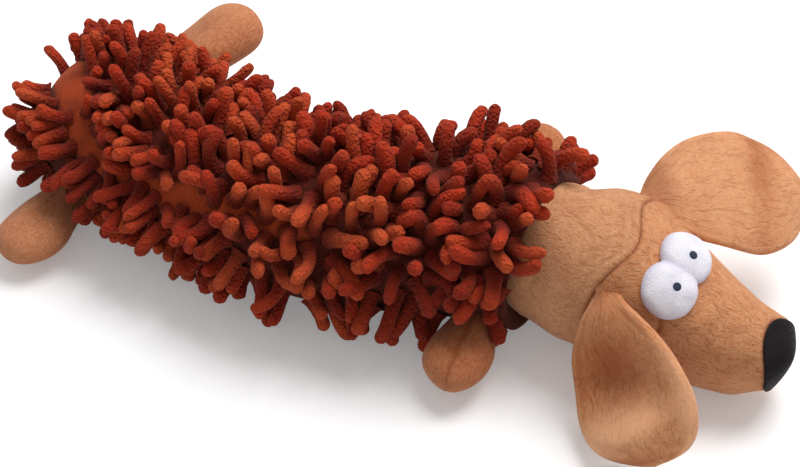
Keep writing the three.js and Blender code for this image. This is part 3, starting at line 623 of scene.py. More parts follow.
def pupil_material():
    """Dark blue-grey satin thread."""
    dark, bright = colour(30, 36, 50), colour(66, 78, 104)
    material, w, shader = new_material("Dark satin pupil", dark, 0.1, 0.3, (0.7, 0.8, 1, 1), 0.35)
    thread = w.add("ShaderNodeTexWave", {"bands_direction": "Y"}, Vector=w.place(), Scale=900.0,
                   Distortion=0.6).outputs["Fac"]
    w.put(shader, "Base Color", w.mix(thread, dark, bright))
    w.put(shader, "Roughness", w.spread(thread, 0, 1, 0.3, 0.5))
    raise_bump(w, shader, thread, 0.0002)
    return material


def grained_material(name, shown, second, scale, rough):
    """A plain finish in two near tones, with a fine grain."""
    shown, second = colour(*shown), colour(*second)
    material, w, shader = new_material(name, shown, 0.0, rough=rough)
    grain = w.noise(w.place(), scale, 4.0, 0.65)
    w.put(shader, "Base Color", w.mix(w.spread(grain, 0.35, 0.7), shown, second))
    w.put(shader, "Roughness", w.spread(grain, 0.3, 0.7, rough, min(1.0, rough + 0.15)))
    raise_bump(w, shader, grain, 0.0004)
    return material


def make_finishes():
    nap, chenille = nap_group(), chenille_group()
    # The sixth name in each row is the colour of the painted light; only the ears and paws carry the pale
    # attribute that lays it on.
    plushes = {
        "plush": ("Tan plush", nap, "plush", "plush_shade", "plush_light", "plush_light",
                  0.6, 0.0022, 0.0014),
        "muzzle": ("Tan plush, brushed muzzle", nap, "muzzle", "plush_shade", "plush_light", "plush_light",
                   0.75, 0.0032, 0.0013),
        "ear": ("Tan plush, combed ear", nap, "ear", "ear_shade", "plush_light", "ear_light",
                0.65, 0.0018, 0.0022),
        "paw": ("Pale plush paw", nap, "paw", "plush_shade", "paw_light", "ear_light",
                0.4, 0.0018, 0.0016),
    }
    grained = {
        "thread": ("Tan sewing thread", (150, 92, 56), (190, 130, 88), 3000.0, 0.6),
        "filling": ("White fibre filling", (242, 240, 234), (214, 210, 200), 400.0, 0.95),
        "vinyl": ("Cream moulded vinyl", (233, 228, 214), (216, 209, 190), 120.0, 0.45),
        "reed": ("Clear grey reed", (184, 196, 204), (150, 164, 174), 260.0, 0.3),
    }
    piles = {
        "pile": ("Rust chenille pile", chenille, "pile", "pile_shade", "pile_light", "tone",
                 0.0013, 0.000675),
        # The backing is painted shade in the dark gap colour everywhere but the bare parting, where it shows its
        # own rust.
        "backing": ("Rust pile backing", chenille, "gaps", "gaps", "backing", "bare", 0.0006, 0.000225),
    }
    for table, make in ((plushes, plush_material), (piles, pile_material), (grained, grained_material)):
        finishes.update({key: make(*values) for key, values in table.items()})
    finishes.update(eye=eye_material(), nose=nose_material(), pupil=pupil_material())


# Geometry Nodes

def end_tree(w, out, geometry, material):
    smooth = w.add("GeometryNodeSetShadeSmooth", None, Geometry=geometry)
    real = w.add("GeometryNodeRealizeInstances", None, Geometry=smooth.outputs[0])
    done = w.add("GeometryNodeSetMaterial", None, Geometry=real.outputs[0], Material=material)
    w.put(out, "Geometry", done.outputs[0])


def grow(name, lines, tree, finish, marks=None, **values):
    """Runs a node tree on a piece's guide lines with its inputs set, and keeps the plain mesh."""
    ends = np.cumsum([len(line) for line in lines])
    edges = [(k, k + 1) for k in range(ends[-1] - 1) if k + 1 not in ends]
    made = new_object(name, np.concatenate(lines), edges=edges)
    for title, mark in (marks or {}).items():
        set_attribute(made, title, np.concatenate(mark))
    modifier = made.modifiers.new(tree.name, "NODES")
    modifier.node_group = tree
    values["Material"] = finishes[finish]
    for item in tree.interface.items_tree:
        key = item.name.replace(" ", "_")
        if item.item_type == "SOCKET" and item.in_out == "INPUT" and key in values:
            modifier[item.identifier] = values[key]
    return flatten(made)


def noodle_tree():
    """Swells each guide line into a soft round finger, by its girth along the line, with small lumps."""
    tree, w, g, out = new_tree("Pile noodles", "GeometryNodeTree", (
        ("Geometry", "Geometry"), ("Sides", "Int", 8), ("Lumps", "Float", 0.0005),
        ("Lump Size", "Float", 0.003), ("Material", "Material"),
    ), (("Geometry", "Geometry"),))
    lines = w.add("GeometryNodeMeshToCurve", None, Mesh=g["Geometry"])
    named = w.add("GeometryNodeInputNamedAttribute", {"data_type": "FLOAT"}, Name="girth")
    girth = named.outputs["Attribute"]
    sized = w.add("GeometryNodeSetCurveRadius", None, Curve=lines.outputs[0], Radius=girth)
    ring = w.add("GeometryNodeCurvePrimitiveCircle", None, Resolution=g["Sides"], Radius=1.0)
    swell = w.add("GeometryNodeCurveToMesh", None, Curve=sized.outputs[0],
                  Profile_Curve=ring.outputs[0], Fill_Caps=True)
    if "Scale" in swell.inputs:
        w.put(swell, "Scale", girth)
    lump = w.noise(w.add("GeometryNodeInputPosition").outputs[0], w.math("DIVIDE", 1.0, g["Lump Size"]), 1.0)
    reach = w.math("MULTIPLY", w.math("SUBTRACT", lump, 0.5), w.math("MULTIPLY", g["Lumps"], 2.0))
    push = w.vector("SCALE", w.add("GeometryNodeInputNormal").outputs[0], reach)
    moved = w.add("GeometryNodeSetPosition", None, Geometry=swell.outputs[0], Offset=push)
    end_tree(w, out, moved.outputs[0], g["Material"])
    return tree


def stitch_tree():
    """Lays short rounded stitches end to end along each guide line."""
    tree, w, g, out = new_tree("Seam stitches", "GeometryNodeTree", (
        ("Geometry", "Geometry"), ("Pitch", "Float", 0.0024), ("Stitch Length", "Float", 0.0016),
        ("Thread", "Float", 0.0003), ("Slant", "Float", 0.15), ("Material", "Material"),
    ), (("Geometry", "Geometry"),))
    lines = w.add("GeometryNodeMeshToCurve", None, Mesh=g["Geometry"])
    even = w.add("GeometryNodeResampleCurve", {"mode": "LENGTH"}, Curve=lines.outputs[0], Length=g["Pitch"])
    ball = w.add("GeometryNodeMeshUVSphere", None, Segments=5, Rings=4, Radius=0.5)
    along = w.add("GeometryNodeInputTangent").outputs[0]
    turn = w.add("FunctionNodeAlignRotationToVector", {"axis": "X"}, Vector=along)
    bend = w.add("ShaderNodeCombineXYZ", None, Z=g["Slant"])
    slant = w.add("FunctionNodeRotateRotation", {"rotation_space": "LOCAL"}, Rotation=turn.outputs[0],
                  Rotate_By=bend.outputs[0])
    wide = w.math("MULTIPLY", g["Thread"], 2.0)
    size = w.add("ShaderNodeCombineXYZ", None, X=g["Stitch Length"], Y=wide, Z=wide)
    laid = w.add("GeometryNodeInstanceOnPoints", None, Points=even.outputs[0], Instance=ball.outputs[0],
                 Rotation=slant.outputs[0], Scale=size.outputs[0])
    end_tree(w, out, laid.outputs[0], g["Material"])
    return tree


# The mop: roots on the body, then soft fingers that settle against each other

def parting_spots():
    """Close places along the parting, each with how far along the body it is."""
    corners = np.arange(len(PARTING))
    steps = np.linspace(0, corners[-1], 4 * corners[-1] + 1)
    stations, turned = (np.interp(steps, corners, PARTING[:, k]) for k in (0, 1))
    return [(x, body_point(x, math.radians(degrees))) for x, degrees in zip(stations, turned)]


PARTING_SPOTS = parting_spots()


def parting_reach(x, turn):
    """How far a place on the body is from the parting, which way leads off it, and where along it that is."""
    here = body_point(x, turn)
    place, spot = min(PARTING_SPOTS, key=lambda row: np.linalg.norm(here - row[1]))
    return np.linalg.norm(here - spot), here - spot, place


def in_paw_room(points, reach):
    """True for points that a paw or its swing needs."""
    inside = np.zeros(len(points), bool)
    for paw in PAWS:
        room = reach + paw.room
        for angle in paw.swing:
            ahead = paw.ahead * math.cos(angle) + paw.up * math.sin(angle)
            up = paw.up * math.cos(angle) - paw.ahead * math.sin(angle)
            s, side, height = ((points - paw.root) @ way for way in (ahead, paw.left, up))
            half_width, half_thickness = paw.section(s)
            round_it = (side / (half_width + room)) ** 2 + (height / (half_thickness + room)) ** 2 < 1
            inside |= (s > PAW_ROOT_HIDDEN) & (s < paw.length + room) & round_it
    return inside


def out_of_body(points, gap):
    """Moves points that are in the body's skin out of it."""
    for k, p in enumerate(points):
        x = min(max(p[0], 3 - TAIL), COLLAR)
        y, left = spine(x)
        for _ in range(2):
            a = (p[0] - x) * left[0] + (p[1] - y) * left[1]
            x = min(max(p[0] - left[0] * a, 3 - TAIL), COLLAR)
            y, left = spine(x)
        half_width, half_height = body_size(x)
        full = dome(x + TAIL, TAIL_DOME)
        u = p[2] - (half_height - BELLY_SINK)
        radius = math.hypot(a / (full * half_width + gap), u / (full * half_height + gap))
        if 1e-6 < radius < 1 and p[0] < COLLAR + 4:
            points[k] = p + (1 / radius - 1) * 0.9 * (left * a + np.array((0, 0, u)))
    return points


def out_of_neck(points, gap):
    """Moves points that hang into the neck up and out of it."""
    radial = points[:, 1:] - NECK_JOINT[1:]
    far = np.linalg.norm(radial, axis=1)
    room = NECK_RADIUS - 0.5 + gap
    push = (points[:, 0] > COLLAR + 3) & (far < room)
    points[push, 1:] += radial[push] * (room / far[push] - 1)[:, None]
    return points


def noodle_roots(pitch):
    """Even, slightly shaken places all over the body but the belly, each with its normal."""
    rng = random.Random(NOODLE_SEED)
    roots, depth, row = [], FIRST_ROW, 0
    shake_round, shake_along = ROOT_SHAKE
    while depth < TAIL + COLLAR + 0.5:
        x = depth - TAIL
        half_width, half_height = body_size(x)
        full = float(dome(depth, TAIL_DOME))
        close = pitch * (0.96 + 0.06 * smoothstep(x, -90, 40))
        count = max(4, round(full * math.pi * (half_width + half_height) / close))
        by_tail = 1 - smoothstep(depth, 8, 30)
        lowest = math.radians(LOWEST_TURN + (TAIL_LOWEST_TURN - LOWEST_TURN) * by_tail)
        for k in range(count):
            step = k + (row % 2) / 2 + rng.uniform(-shake_round, shake_round)
            turn = 2 * math.pi * step / count - math.pi
            at = min(max(x + rng.uniform(-shake_along, shake_along) * pitch, 1.2 - TAIL), COLLAR)
            spot = body_point(at, turn)
            under_collar = at > 89 and turn < -1.25
            if abs(turn) <= lowest and spot[2] >= LOWEST_ROOT and not under_collar:
                roots.append((at, turn, spot, body_normal(at, turn)))
        steepness = (dome(depth + 0.5, TAIL_DOME) - full) / 0.5 * half_width if depth < TAIL_DOME else 0
        depth += max(1.0, 0.87 * close / math.hypot(1, steepness))
        row += 1
    return roots


def laid_noodles(pitch, length, girth):
    """Root, middle, tip, girth, tone and painted shade of every noodle, before they press on each other."""
    rng = np.random.default_rng(NOODLE_SEED)
    flow = smooth_noise(NOODLE_SEED + 1, 11.0)
    noodles = []
    for at, turn, spot, normal in noodle_roots(pitch):
        far, away, place = parting_reach(at, turn)
        openness = 1 - STRIP_CLOSING * smoothstep(place, *STRIP_CLOSES)
        strip = (STRIP_BARE + STRIP_SWELL * max(0.0, math.sin(place * STRIP_WAVE))) * openness
        bare = TAIL_BARE if place < TAIL_BARE_END else strip
        if far < bare:
            continue
        grown = smoothstep(at, -100, 60)
        by_flow, by_chance, bending = (low + more * grown for low, more in LEANS)
        lean = flow(spot) * by_flow + rng.normal(size=3) * by_chance
        lean -= normal * (lean @ normal)
        lean[2] -= 0.08
        if far < bare + 8:
            lean += unit(away) * (0.6 * (1 - (far - bare) / 8) + 0.1) * openness
        forward = 1.5 - 1.65 * smoothstep(turn, -0.2, 0.9) - 1.3 * smoothstep(-turn, 0.9, 1.3)
        lean[0] += forward * smoothstep(at, COLLAR - 26, COLLAR)
        if abs(turn) > 1.4:
            lean[2] -= 0.15
        size = girth * (0.88 + 0.12 * grown) * rng.uniform(*NOODLE_THICKNESSES)
        far_collar = smoothstep(at, 62, 92) * smoothstep(turn, 0.3, 1.1)
        near_collar = smoothstep(at, 66, 88) * smoothstep(-turn, 1.0, 1.4)
        reach = length * rng.uniform(*NOODLE_LENGTHS) * (0.85 if abs(turn) > 1.75 else 1)
        reach *= 0.84 + 0.16 * grown
        reach *= (1 - 0.35 * far_collar) * (1 - 0.3 * near_collar)
        aim = unit(normal + lean)
        bend = unit(aim + rng.normal(size=3) * bending + np.array((0, 0, -0.06)))
        # The tone differs at random and with the flow, and is lowered as painted shade on the near side's lower
        # noodles.
        tone = 0.38 + 0.27 * rng.normal() + 0.2 * flow(spot * 0.7)[0] - 0.12 * (turn < -0.9)
        # Painted shade, darker toward the body's lower sides.
        deep = 0.6 * smoothstep(abs(turn), 0.5, 1.5)
        middle, tip = spot + aim * reach / 2, spot + (aim + bend) * reach / 2
        noodles.append((spot - normal * ROOT_SINK, middle, tip, size, np.clip(tone, 0, 1), deep))
    return [np.array(column) for column in zip(*noodles)]


def pressed_apart(middles, tips, sizes, girth):
    """The middles and tips of the noodles, each pushed a step away from those that it overlaps."""
    both, count = np.vstack((middles, tips)), len(middles)
    tree = kdtree.KDTree(len(both))
    for k, p in enumerate(both):
        tree.insert(p, k)
    tree.balance()
    push = np.zeros_like(both)
    for k, p in enumerate(both):
        for spot, other, far in tree.find_range(p, 2 * girth * NOODLE_THICKNESSES[1]):
            room = (sizes[k] + sizes[other]) * PRESSED_ROOM
            if other % count != k % count and 1e-6 <= far < room:
                push[k] += (p - np.array(spot)) / far * (room - far) * SETTLING_PUSH
    both += push
    both[:, 2] -= SAG
    return both[:count], both[count:]


def at_length(points, lengths, origins):
    """The points, moved to keep their lengths from their origins."""
    ways = points - origins
    return origins + ways / np.linalg.norm(ways, axis=1)[:, None] * lengths[:, None]


def off_floor(points, thick):
    """Lifts points to where a noodle this thick lies clear of the floor."""
    points[:, 2] = np.maximum(points[:, 2], thick + FLOOR_GAP)


def settled_noodles(pitch, length, girth):
    """Every noodle after they have pushed each other apart, sagged, and left the paws their room."""
    roots, middles, tips, thick, tone, deep = laid_noodles(pitch, length, girth)
    half, rest = np.linalg.norm(middles - roots, axis=1), np.linalg.norm(tips - middles, axis=1)
    aims, sizes = tips - roots, np.concatenate((thick, thick * TIP_THICKNESS))
    for _ in range(SETTLING_STEPS):
        middles, tips = pressed_apart(middles, tips, sizes, girth)
        tips += (roots + aims - tips) * SPRING_BACK
        middles = out_of_neck(out_of_body(middles, girth * 0.5), girth)
        tips = out_of_neck(out_of_body(tips, girth * 0.9), girth)
        off_floor(middles, thick)
        off_floor(tips, thick)
        middles = at_length(middles, half, roots)
        tips = at_length(tips, rest, middles)
    off_floor(middles, thick)
    off_floor(tips, thick)
    lost = np.zeros(len(roots), bool)
    for points, share in ((middles, 0.55), ((middles + tips) / 2, 0.5), (tips, 0.4)):
        lost |= in_paw_room(points, girth * share)
    return zip(*(part[~lost] for part in (roots, middles, tips, thick, tone, deep)))


def noodle_line(root, middle, tip, thick, tone, deep):
    """A noodle's bent line, with its girth, its tone with painted light toward the tip, and its painted shade
    along it.
    """
    t = STATIONS[:, None]
    control = 2 * middle - (root + tip) / 2
    line = (1 - t) ** 2 * root + 2 * t * (1 - t) * control + t * t * tip
    line[:, 2] = np.maximum(line[:, 2], GIRTHS * thick + 0.4)
    # Painted light: the tone grows lighter toward the tip.
    tones = np.clip(tone + 0.24 * (STATIONS - 0.5), 0, 1)
    # Painted shade: darker toward the root, and by the noodle's own painted shade, less toward the tip.
    shadow = np.maximum(smoothstep(-STATIONS, -0.75, -0.1), deep * (1 - 0.5 * STATIONS))
    return line, GIRTHS * thick * MM, tones, shadow


def build_mop():
    s = bpy.context.scene.plush_dog_sizes
    tree = noodle_tree()
    groups = {"tail_noodles": [], "back_noodles": [], "chest_noodles": []}
    for noodle in settled_noodles(s.noodle_pitch / MM, s.noodle_length / MM, s.noodle_thickness / 2 / MM):
        x = noodle[0][0]
        group = "tail_noodles" if x < -60 else "back_noodles" if x < 20 else "chest_noodles"
        groups[group].append(noodle_line(*noodle))
    for name, members in groups.items():
        lines, girth, tone, deep = zip(*members)
        made = grow(name, lines, tree, "pile", {"girth": girth, "tone": tone, "deep": deep},
                    Sides=8, Lumps=s.noodle_lumps, Lump_Size=0.0028)
        dress(made, "pile", "pile", body="torso")


def body_spot(x, turn):
    """A place on the pile's backing, and how bare it is."""
    if x >= 30 or not -1.4 < turn < 0.3:
        return body_point(x, turn), 0
    far, _, place = parting_reach(x, turn)
    return body_point(x, turn), 1 - smoothstep(far, 5, 13 if place < -90 else 9)


def build_body():
    """The pile's backing: one stuffed tube with a round tail end and a cupped collar."""
    around = turns(108)
    depths = [TAIL_DOME * (1 - math.cos(a)) for a in np.linspace(0.09, math.pi / 2, 13)]
    depths += list(np.linspace(TAIL_DOME, TAIL + COLLAR, 56)[1:])
    rows, bare = swept([depth - TAIL for depth in depths], around, body_spot)
    y, _ = spine(COLLAR)
    middle, half_width = CHEST_HEIGHT / 2 - BELLY_SINK, BODY_HALF_WIDTH - 1
    for share, ahead in COLLAR_CUP:
        wide, tall = share * half_width, share * middle
        ring = [(wide * math.sin(t), max(0.4, middle + tall * math.cos(t))) for t in around]
        rows.append([(COLLAR + ahead, y + aside, height) for aside, height in ring])
    hidden = np.zeros(len(around) * len(COLLAR_CUP))
    tail_end = (-TAIL, spine(-TAIL)[0], HIP_HEIGHT / 2 - BELLY_SINK)
    made = skin("body_backing", rows, tail_end, (COLLAR - 21, y, middle),
                bare=[*bare[:, 0], *hidden], deep=np.zeros(len(around) * len(rows)))
    panels = ("right_side_panel", "left_side_panel", "tail_panel", "belly_panel")
    dress(made, "backing", "pile", *panels, body="torso")


# Neck, head and face

def ball_rows(radius, end, count, floor, around):
    """Rings of the neck's round rear end."""
    rows = []
    for a in np.linspace(0.15, end, count):
        x, r = NECK_JOINT[0] - radius * math.cos(a), radius * math.sin(a)
        ring = [(MIDDLE_Y + r * math.sin(t), MIDDLE_Z + r * math.cos(t)) for t in turns(around)]
        rows.append([(x, y, max(floor, z)) for y, z in ring])
    return rows


def neck_pull(x):
    """How far the neck narrows into the collar, as a share."""
    return 1 - smoothstep(x, 102, 117)


def build_neck():
    """A plain plush tube from inside the collar to the raised seam at the head."""
    around, start = 120, NECK_JOINT[0]
    wrinkle = smooth_noise(5, 9.0)

    def spot(share, turn):
        x = start + (neck_seam(turn) - start) * share
        to_seam = neck_seam(turn) - x
        p = head_point(x, turn, rolled(to_seam, NECK_ROLLS) - 2.7 * neck_pull(x))
        return above(p + head_normal(x, turn) * wrinkle(p)[0] * 0.28, 1.0), 0.5 * hump(to_seam, 0, 0.9)

    rear = ball_rows(NECK_BALL, math.pi / 2, 9, 1.2, around)
    rows, shade = swept(np.linspace(0.03, 1, 46), turns(around), spot)
    tucked = seam_ring(neck_seam, 0.2, 5, around)
    ends = [(x, MIDDLE_Y, MIDDLE_Z) for x in (start - NECK_BALL, NECK_END)]
    # The shade attribute is painted shade: in the crease at the head seam, and on the ring tucked in behind it.
    made = skin("neck_skin", [*rear, *rows, tucked], *ends,
                shade=[*[0.0] * around * len(rear), *shade[:, 0], *[0.8] * around])
    dress(made, "plush", "plush", "neck_cover")
    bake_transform(made)


def build_neck_stuffing():
    """The fibre under the neck's skin."""
    around, radius, floor = 48, NECK_BALL - 2.5, 3.4
    clumps = smooth_noise(6, 4.0)

    def spot(x, turn):
        p = head_point(x, turn, -3.6 - 1.6 * neck_pull(x))
        lump = clumps(p) * 0.25
        return (above(p, floor) + lump,)

    rows, _ = swept(np.linspace(NECK_JOINT[0], NECK_END, 12), turns(around), spot)
    tucked = [head_point(NECK_END, t, -14) for t in turns(around)]
    ends = [(x, MIDDLE_Y, MIDDLE_Z) for x in (NECK_JOINT[0] - radius, NECK_END)]
    made = skin("neck_stuffing", [*ball_rows(radius, 1.4, 8, floor, around), *rows, tucked], *ends)
    dress(made, "filling", "filling", "neck_filling")
    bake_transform(made)


def groove(p, line, depth, width):
    """How deep a place lies in a sewn line."""
    nearest = math.inf
    for a, b in zip(line, line[1:]):
        t = min(1.0, max(0.0, (p - a) @ (b - a) / ((b - a) @ (b - a))))
        nearest = min(nearest, np.linalg.norm(p - a - (b - a) * t))
    return depth * hump(nearest, 0, width)


def build_head():
    """The face and chin: one stuffed skin from the neck seam to the nose seam."""
    around, dart = 144, cheek_line()
    eyes = head_point(EYE_MIDDLE[0], math.radians(EYE_MIDDLE[1]))
    ear_roots = [joint_place(ear + "_lift") for ear in EARS]
    wrinkle, fine = smooth_noise(8, 14.0), smooth_noise(9, 4.0)

    def spot(share, turn):
        from_seam = (nose_seam(turn) - neck_seam(turn)) * share
        x = neck_seam(turn) + from_seam
        to_nose = nose_seam(turn) - x
        p = head_point(x, turn)
        cut = groove(p, dart, 1.1, 0.9)
        tuck = sum(hump(np.linalg.norm(p - root), 0, 7.5) for root in ear_roots)
        seams = rolled(from_seam, HEAD_ROLLS) + rolled(to_nose, NOSE_ROLLS)
        out = seams - cut - tuck + 0.5 * hump(np.linalg.norm(p - eyes), 19, 3)
        out += wrinkle(p)[0] * 0.45 + fine(p)[1] * 0.12
        # Painted shade in the seam creases, the cheek dart and where the ears are tucked in.
        shade = 0.5 * hump(from_seam, 0, 0.8) + cut * 0.6 + 0.5 * tuck + 0.6 * hump(to_nose, 0, 0.7)
        return above(p + head_normal(x, turn) * out, 1.0), min(1.0, shade)

    by_neck, by_nose = np.linspace(0, 0.06, 4)[:-1], np.linspace(0.95, 1, 5)[1:]
    shares = np.concatenate((by_neck, np.linspace(0.06, 0.95, 64), by_nose))
    rows, shade = swept(shares, turns(around), spot)
    rear, front = seam_ring(neck_seam, -0.2, 5, around), seam_ring(nose_seam, -0.3, 4, around)
    # Painted shade on the rings tucked in behind both seams.
    made = skin("head_skin", [rear, *rows, front], (135, MIDDLE_Y, MIDDLE_Z), (186, MIDDLE_Y, 23),
                shade=[*[0.8] * around, *shade[:, 0], *[0.6] * around])
    dress(made, "muzzle", "plush", "face_panel", "chin_panel", body="head")


def build_nose():
    """A pointed black cap over the muzzle's end."""
    around = 96

    def spot(share, turn):
        rim = head_point(nose_seam(turn), turn, 0.55 * smoothstep(share, 0, 0.06))
        forward = 1 - (1 - share) ** (1.5 - 0.12 * smoothstep(rim[2], 18, 30))
        inward = share ** 1.05
        return (rim + (NOSE_TIP - rim) * np.array((forward, inward, inward)),)

    rows, _ = swept((*np.linspace(0, 0.2, 7), *np.linspace(0.2, 0.97, 18)[1:]), turns(around), spot)
    made = skin("nose_cloth", [seam_ring(nose_seam, -0.6, 2.5, around), *rows], (190, MIDDLE_Y, 24),
                NOSE_TIP + np.array((0.02, 0, 0)))
    dress(made, "nose", "nose", "nose_cap", body="head")


def lobe_frame(x, degrees):
    """The middle of an eye lobe, and its directions outwards, forwards and sideways."""
    turn = math.radians(degrees)
    normal = head_normal(x, turn)
    forward = unit(np.array((1.0, 0, 0)) - normal * normal[0])
    return head_point(x, turn) + normal * EYE_LIFT, normal, forward, np.cross(normal, forward)


def build_eye_pad():
    """Two puffed fleece lobes sewn as one pad."""
    shape = bmesh.new()
    frames = [lobe_frame(x, degrees) for x, degrees, *_ in EYES.values()]
    for (centre, normal, forward, side), (_, _, radius, _, _) in zip(frames, EYES.values()):
        aim = Matrix((forward, side, normal)).transposed().to_4x4()
        size = Matrix.Diagonal((radius * MM, radius * MM, EYE_PUFF * MM, 1))
        place = Matrix.Translation(Vector(centre * MM)) @ aim @ size
        bmesh.ops.create_icosphere(shape, subdivisions=4, radius=1.0, matrix=place)
    made = new_object("eye_fleece", np.zeros((0, 3)))
    shape.to_mesh(made.data)
    shape.free()
    remesh = made.modifiers.new("One skin", "REMESH")
    remesh.mode, remesh.voxel_size = "VOXEL", 0.5 * MM
    relax = made.modifiers.new("Soften", "SMOOTH")
    relax.factor, relax.iterations = 0.5, 2
    flatten(made)
    puff = smooth_noise(21, 2.6)
    points = np.array([v.co for v in made.data.vertices]) / MM
    points += [np.array(v.normal) * (puff(p)[0] * 0.1) for v, p in zip(made.data.vertices, points)]
    made.data.vertices.foreach_set("co", (points * MM).ravel())
    made.data.shade_smooth()
    low, reaches = np.full(len(points), 9.0), []
    for centre, normal, _, _ in frames:
        reaches.append(np.linalg.norm(points - centre, axis=1))
        low = np.where(reaches[-1] < 11.5, np.minimum(low, (points - centre) @ normal), low)
    waist = hump(np.abs(reaches[0] - reaches[1]), 0, 1.3)
    # Painted shade: darker low round each lobe's base and in the waist between the lobes.
    set_attribute(made, "shade", np.clip(1 - smoothstep(low, 0.5, 4.0) + 0.5 * waist, 0, 1))
    dress(made, "eye", "eye", "eye_pad", body="head")


def build_pupils():
    """A small satin dot on each eye lobe."""
    for node, (x, degrees, radius, ahead, sideways) in EYES.items():
        centre, normal, forward, side = lobe_frame(x, degrees)
        across = forward * ahead + side * sideways
        rise = EYE_PUFF * math.sqrt(1 - (ahead * ahead + sideways * sideways) / radius ** 2)
        at = centre + across + normal * (rise + 0.15)
        aim = unit(across / radius ** 2 + normal * rise / EYE_PUFF ** 2)
        flat = unit(np.cross(aim, side))
        over = np.cross(aim, flat)
        rows = [[at + (flat * math.cos(a) + over * math.sin(a)) * r + aim * height for a in turns(28, 0)]
                for r, height in PUPIL_DOT]
        made = skin(node + "_satin", rows, at - aim * 1.6, at + aim * 0.32)
        dress(made, "pupil", "pupil", node, body="head")


# Ears

def ear_axes(ear):
    """An ear's root, and its directions along, across and outwards."""
    heading, drop = np.radians(EARS[ear])
    level = math.cos(drop)
    along = np.array((level * math.cos(heading), level * math.sin(heading), -math.sin(drop)))
    across = -unit(JOINTS[ear + "_lift"]["axis"])
    return joint_place(ear + "_lift"), along, across, np.cross(along, across)


def ear_spread(ear, s, side):
    """Half the leaf's width at this share of its length, wider where the far ear is sewn on."""
    widths = EAR_WIDTHS if ear == "right_ear" or side < 0 else EAR_FULL_WIDTHS
    width = flowing(s, np.linspace(0, 1, len(widths)), widths, 0.09) * EAR_HALF_WIDTH
    return width * dome(s * EAR_LENGTH + 0.5, EAR_ROOT_DOME) * dome(EAR_LENGTH - s * EAR_LENGTH, EAR_TIP_DOME)


def ear_hang(ear, s, side):
    """How far the hanging leaf curves out at a place along and across it."""
    arch = 6 * math.sin(math.pi * s) - 5 * side * side * s
    if ear == "right_ear":
        dish = 9.5 * hump(s, 0.47, 0.16) * hump(side, -0.25, 0.7)
        fold = 10.0 * hump(s, 0.84, 0.15) * hump(side, -0.3, 0.9)
        rim = 2.4 * hump(side, 0.85, 0.3) * smoothstep(s, 0.1, 0.7)
        return arch - dish + fold + rim
    valley = 3.0 * hump(s, 0.72 + 0.06 * side, 0.14)
    pucker = 1.6 * hump(s, 0.16, 0.07) * hump(side, 0.3, 0.4)
    return arch - valley + pucker


def ear_brush(ear, s, side):
    """Painted shade in the ear's hollow, valley and crease at the root, darker by the near ear's tip on one side,
    and painted light where the leaf turns up to the lamp.
    """
    if ear == "right_ear":
        dish = hump(s, 0.38, 0.19) * hump(side, -0.22, 0.75)
        edge = hump(s, 0.93, 0.05) * smoothstep(-side, -0.7, 0.5)
        fold = hump(s, 0.73 - 0.04 * side, 0.1) * (1 - smoothstep(side, 0.1, 0.8) * 0.7)
        rim = hump(side, 0.92, 0.14) * smoothstep(s, 0.2, 0.5)
        return 0.75 * dish + 0.6 * edge, min(1.0, fold + 0.7 * rim)
    valley = hump(s, 0.7 + 0.06 * side, 0.1) * (0.7 + 0.3 * smoothstep(side, -0.2, 0.6))
    return 0.34 * valley + 0.3 * hump(s, 0.1, 0.05), 0.4 * (1 - valley)


def build_ears():
    """Each ear: two plush layers sewn and turned, as one soft leaf with a full rolled edge."""
    shares = (-0.045, *np.linspace(0, 0.9, 44), *(1 - 0.1 * (1 - np.linspace(0, 0.97, 12)[1:]) ** 1.6))
    depth, inset, width = EAR_SEWING
    for seed, ear in enumerate(EARS, 31):
        root, along, across, out = ear_axes(ear)
        ripple = smooth_noise(seed, 6.5)

        def spot(s, angle):
            side, to_tip = math.cos(angle), (1 - s) * EAR_LENGTH
            spread = ear_spread(ear, max(s, 0.004), side)
            layer = 1 if math.sin(angle) >= 0 else -1
            sewing = depth * hump((1 - abs(side)) * spread, inset, width)
            sewing = (sewing + depth * hump(to_tip, inset, width) * (s > 0.9)) * (s > 0.08)
            thick = EAR_HALF_THICKNESS * min(1.0, math.sqrt(max(0.0, 1 - side * side)) * 2.4) ** 0.6
            thick = max(0.1, thick - sewing) * min(1.0, to_tip / 1.6 + 0.3)
            lift = ear_hang(ear, s, side) + layer * thick
            p = root + along * (s * EAR_LENGTH) + across * (side * spread) + out * lift
            sunk = (3.2 + 2.2 * smoothstep(side, 0, 0.9)) * (1 - smoothstep(s, -0.02, 0.12))
            # Painted shade along the sewing, at the root and from the ear's shading; its painted light goes to the
            # pale attribute.
            dark, bright = ear_brush(ear, s, side)
            shade = 0.2 * sewing / depth + 0.45 * hump(max(s, 0), 0, 0.05) + dark
            return above(p + out * (ripple(p)[0] * 0.32 - sunk), 0.8), min(0.85, shade), bright

        rows, marks = swept(shares, turns(60, 0), spot)
        end = above(root + along * EAR_LENGTH * 0.999 + out * ear_hang(ear, 1, 0), 1.0)
        made = skin(ear + "_plush", rows, root - along * 3 - out * 4, end,
                    shade=marks[:, 0], pale=marks[:, 1])
        dress(made, "ear", "plush", ear + "_lining", ear + "_outer", body=ear)


# Paws

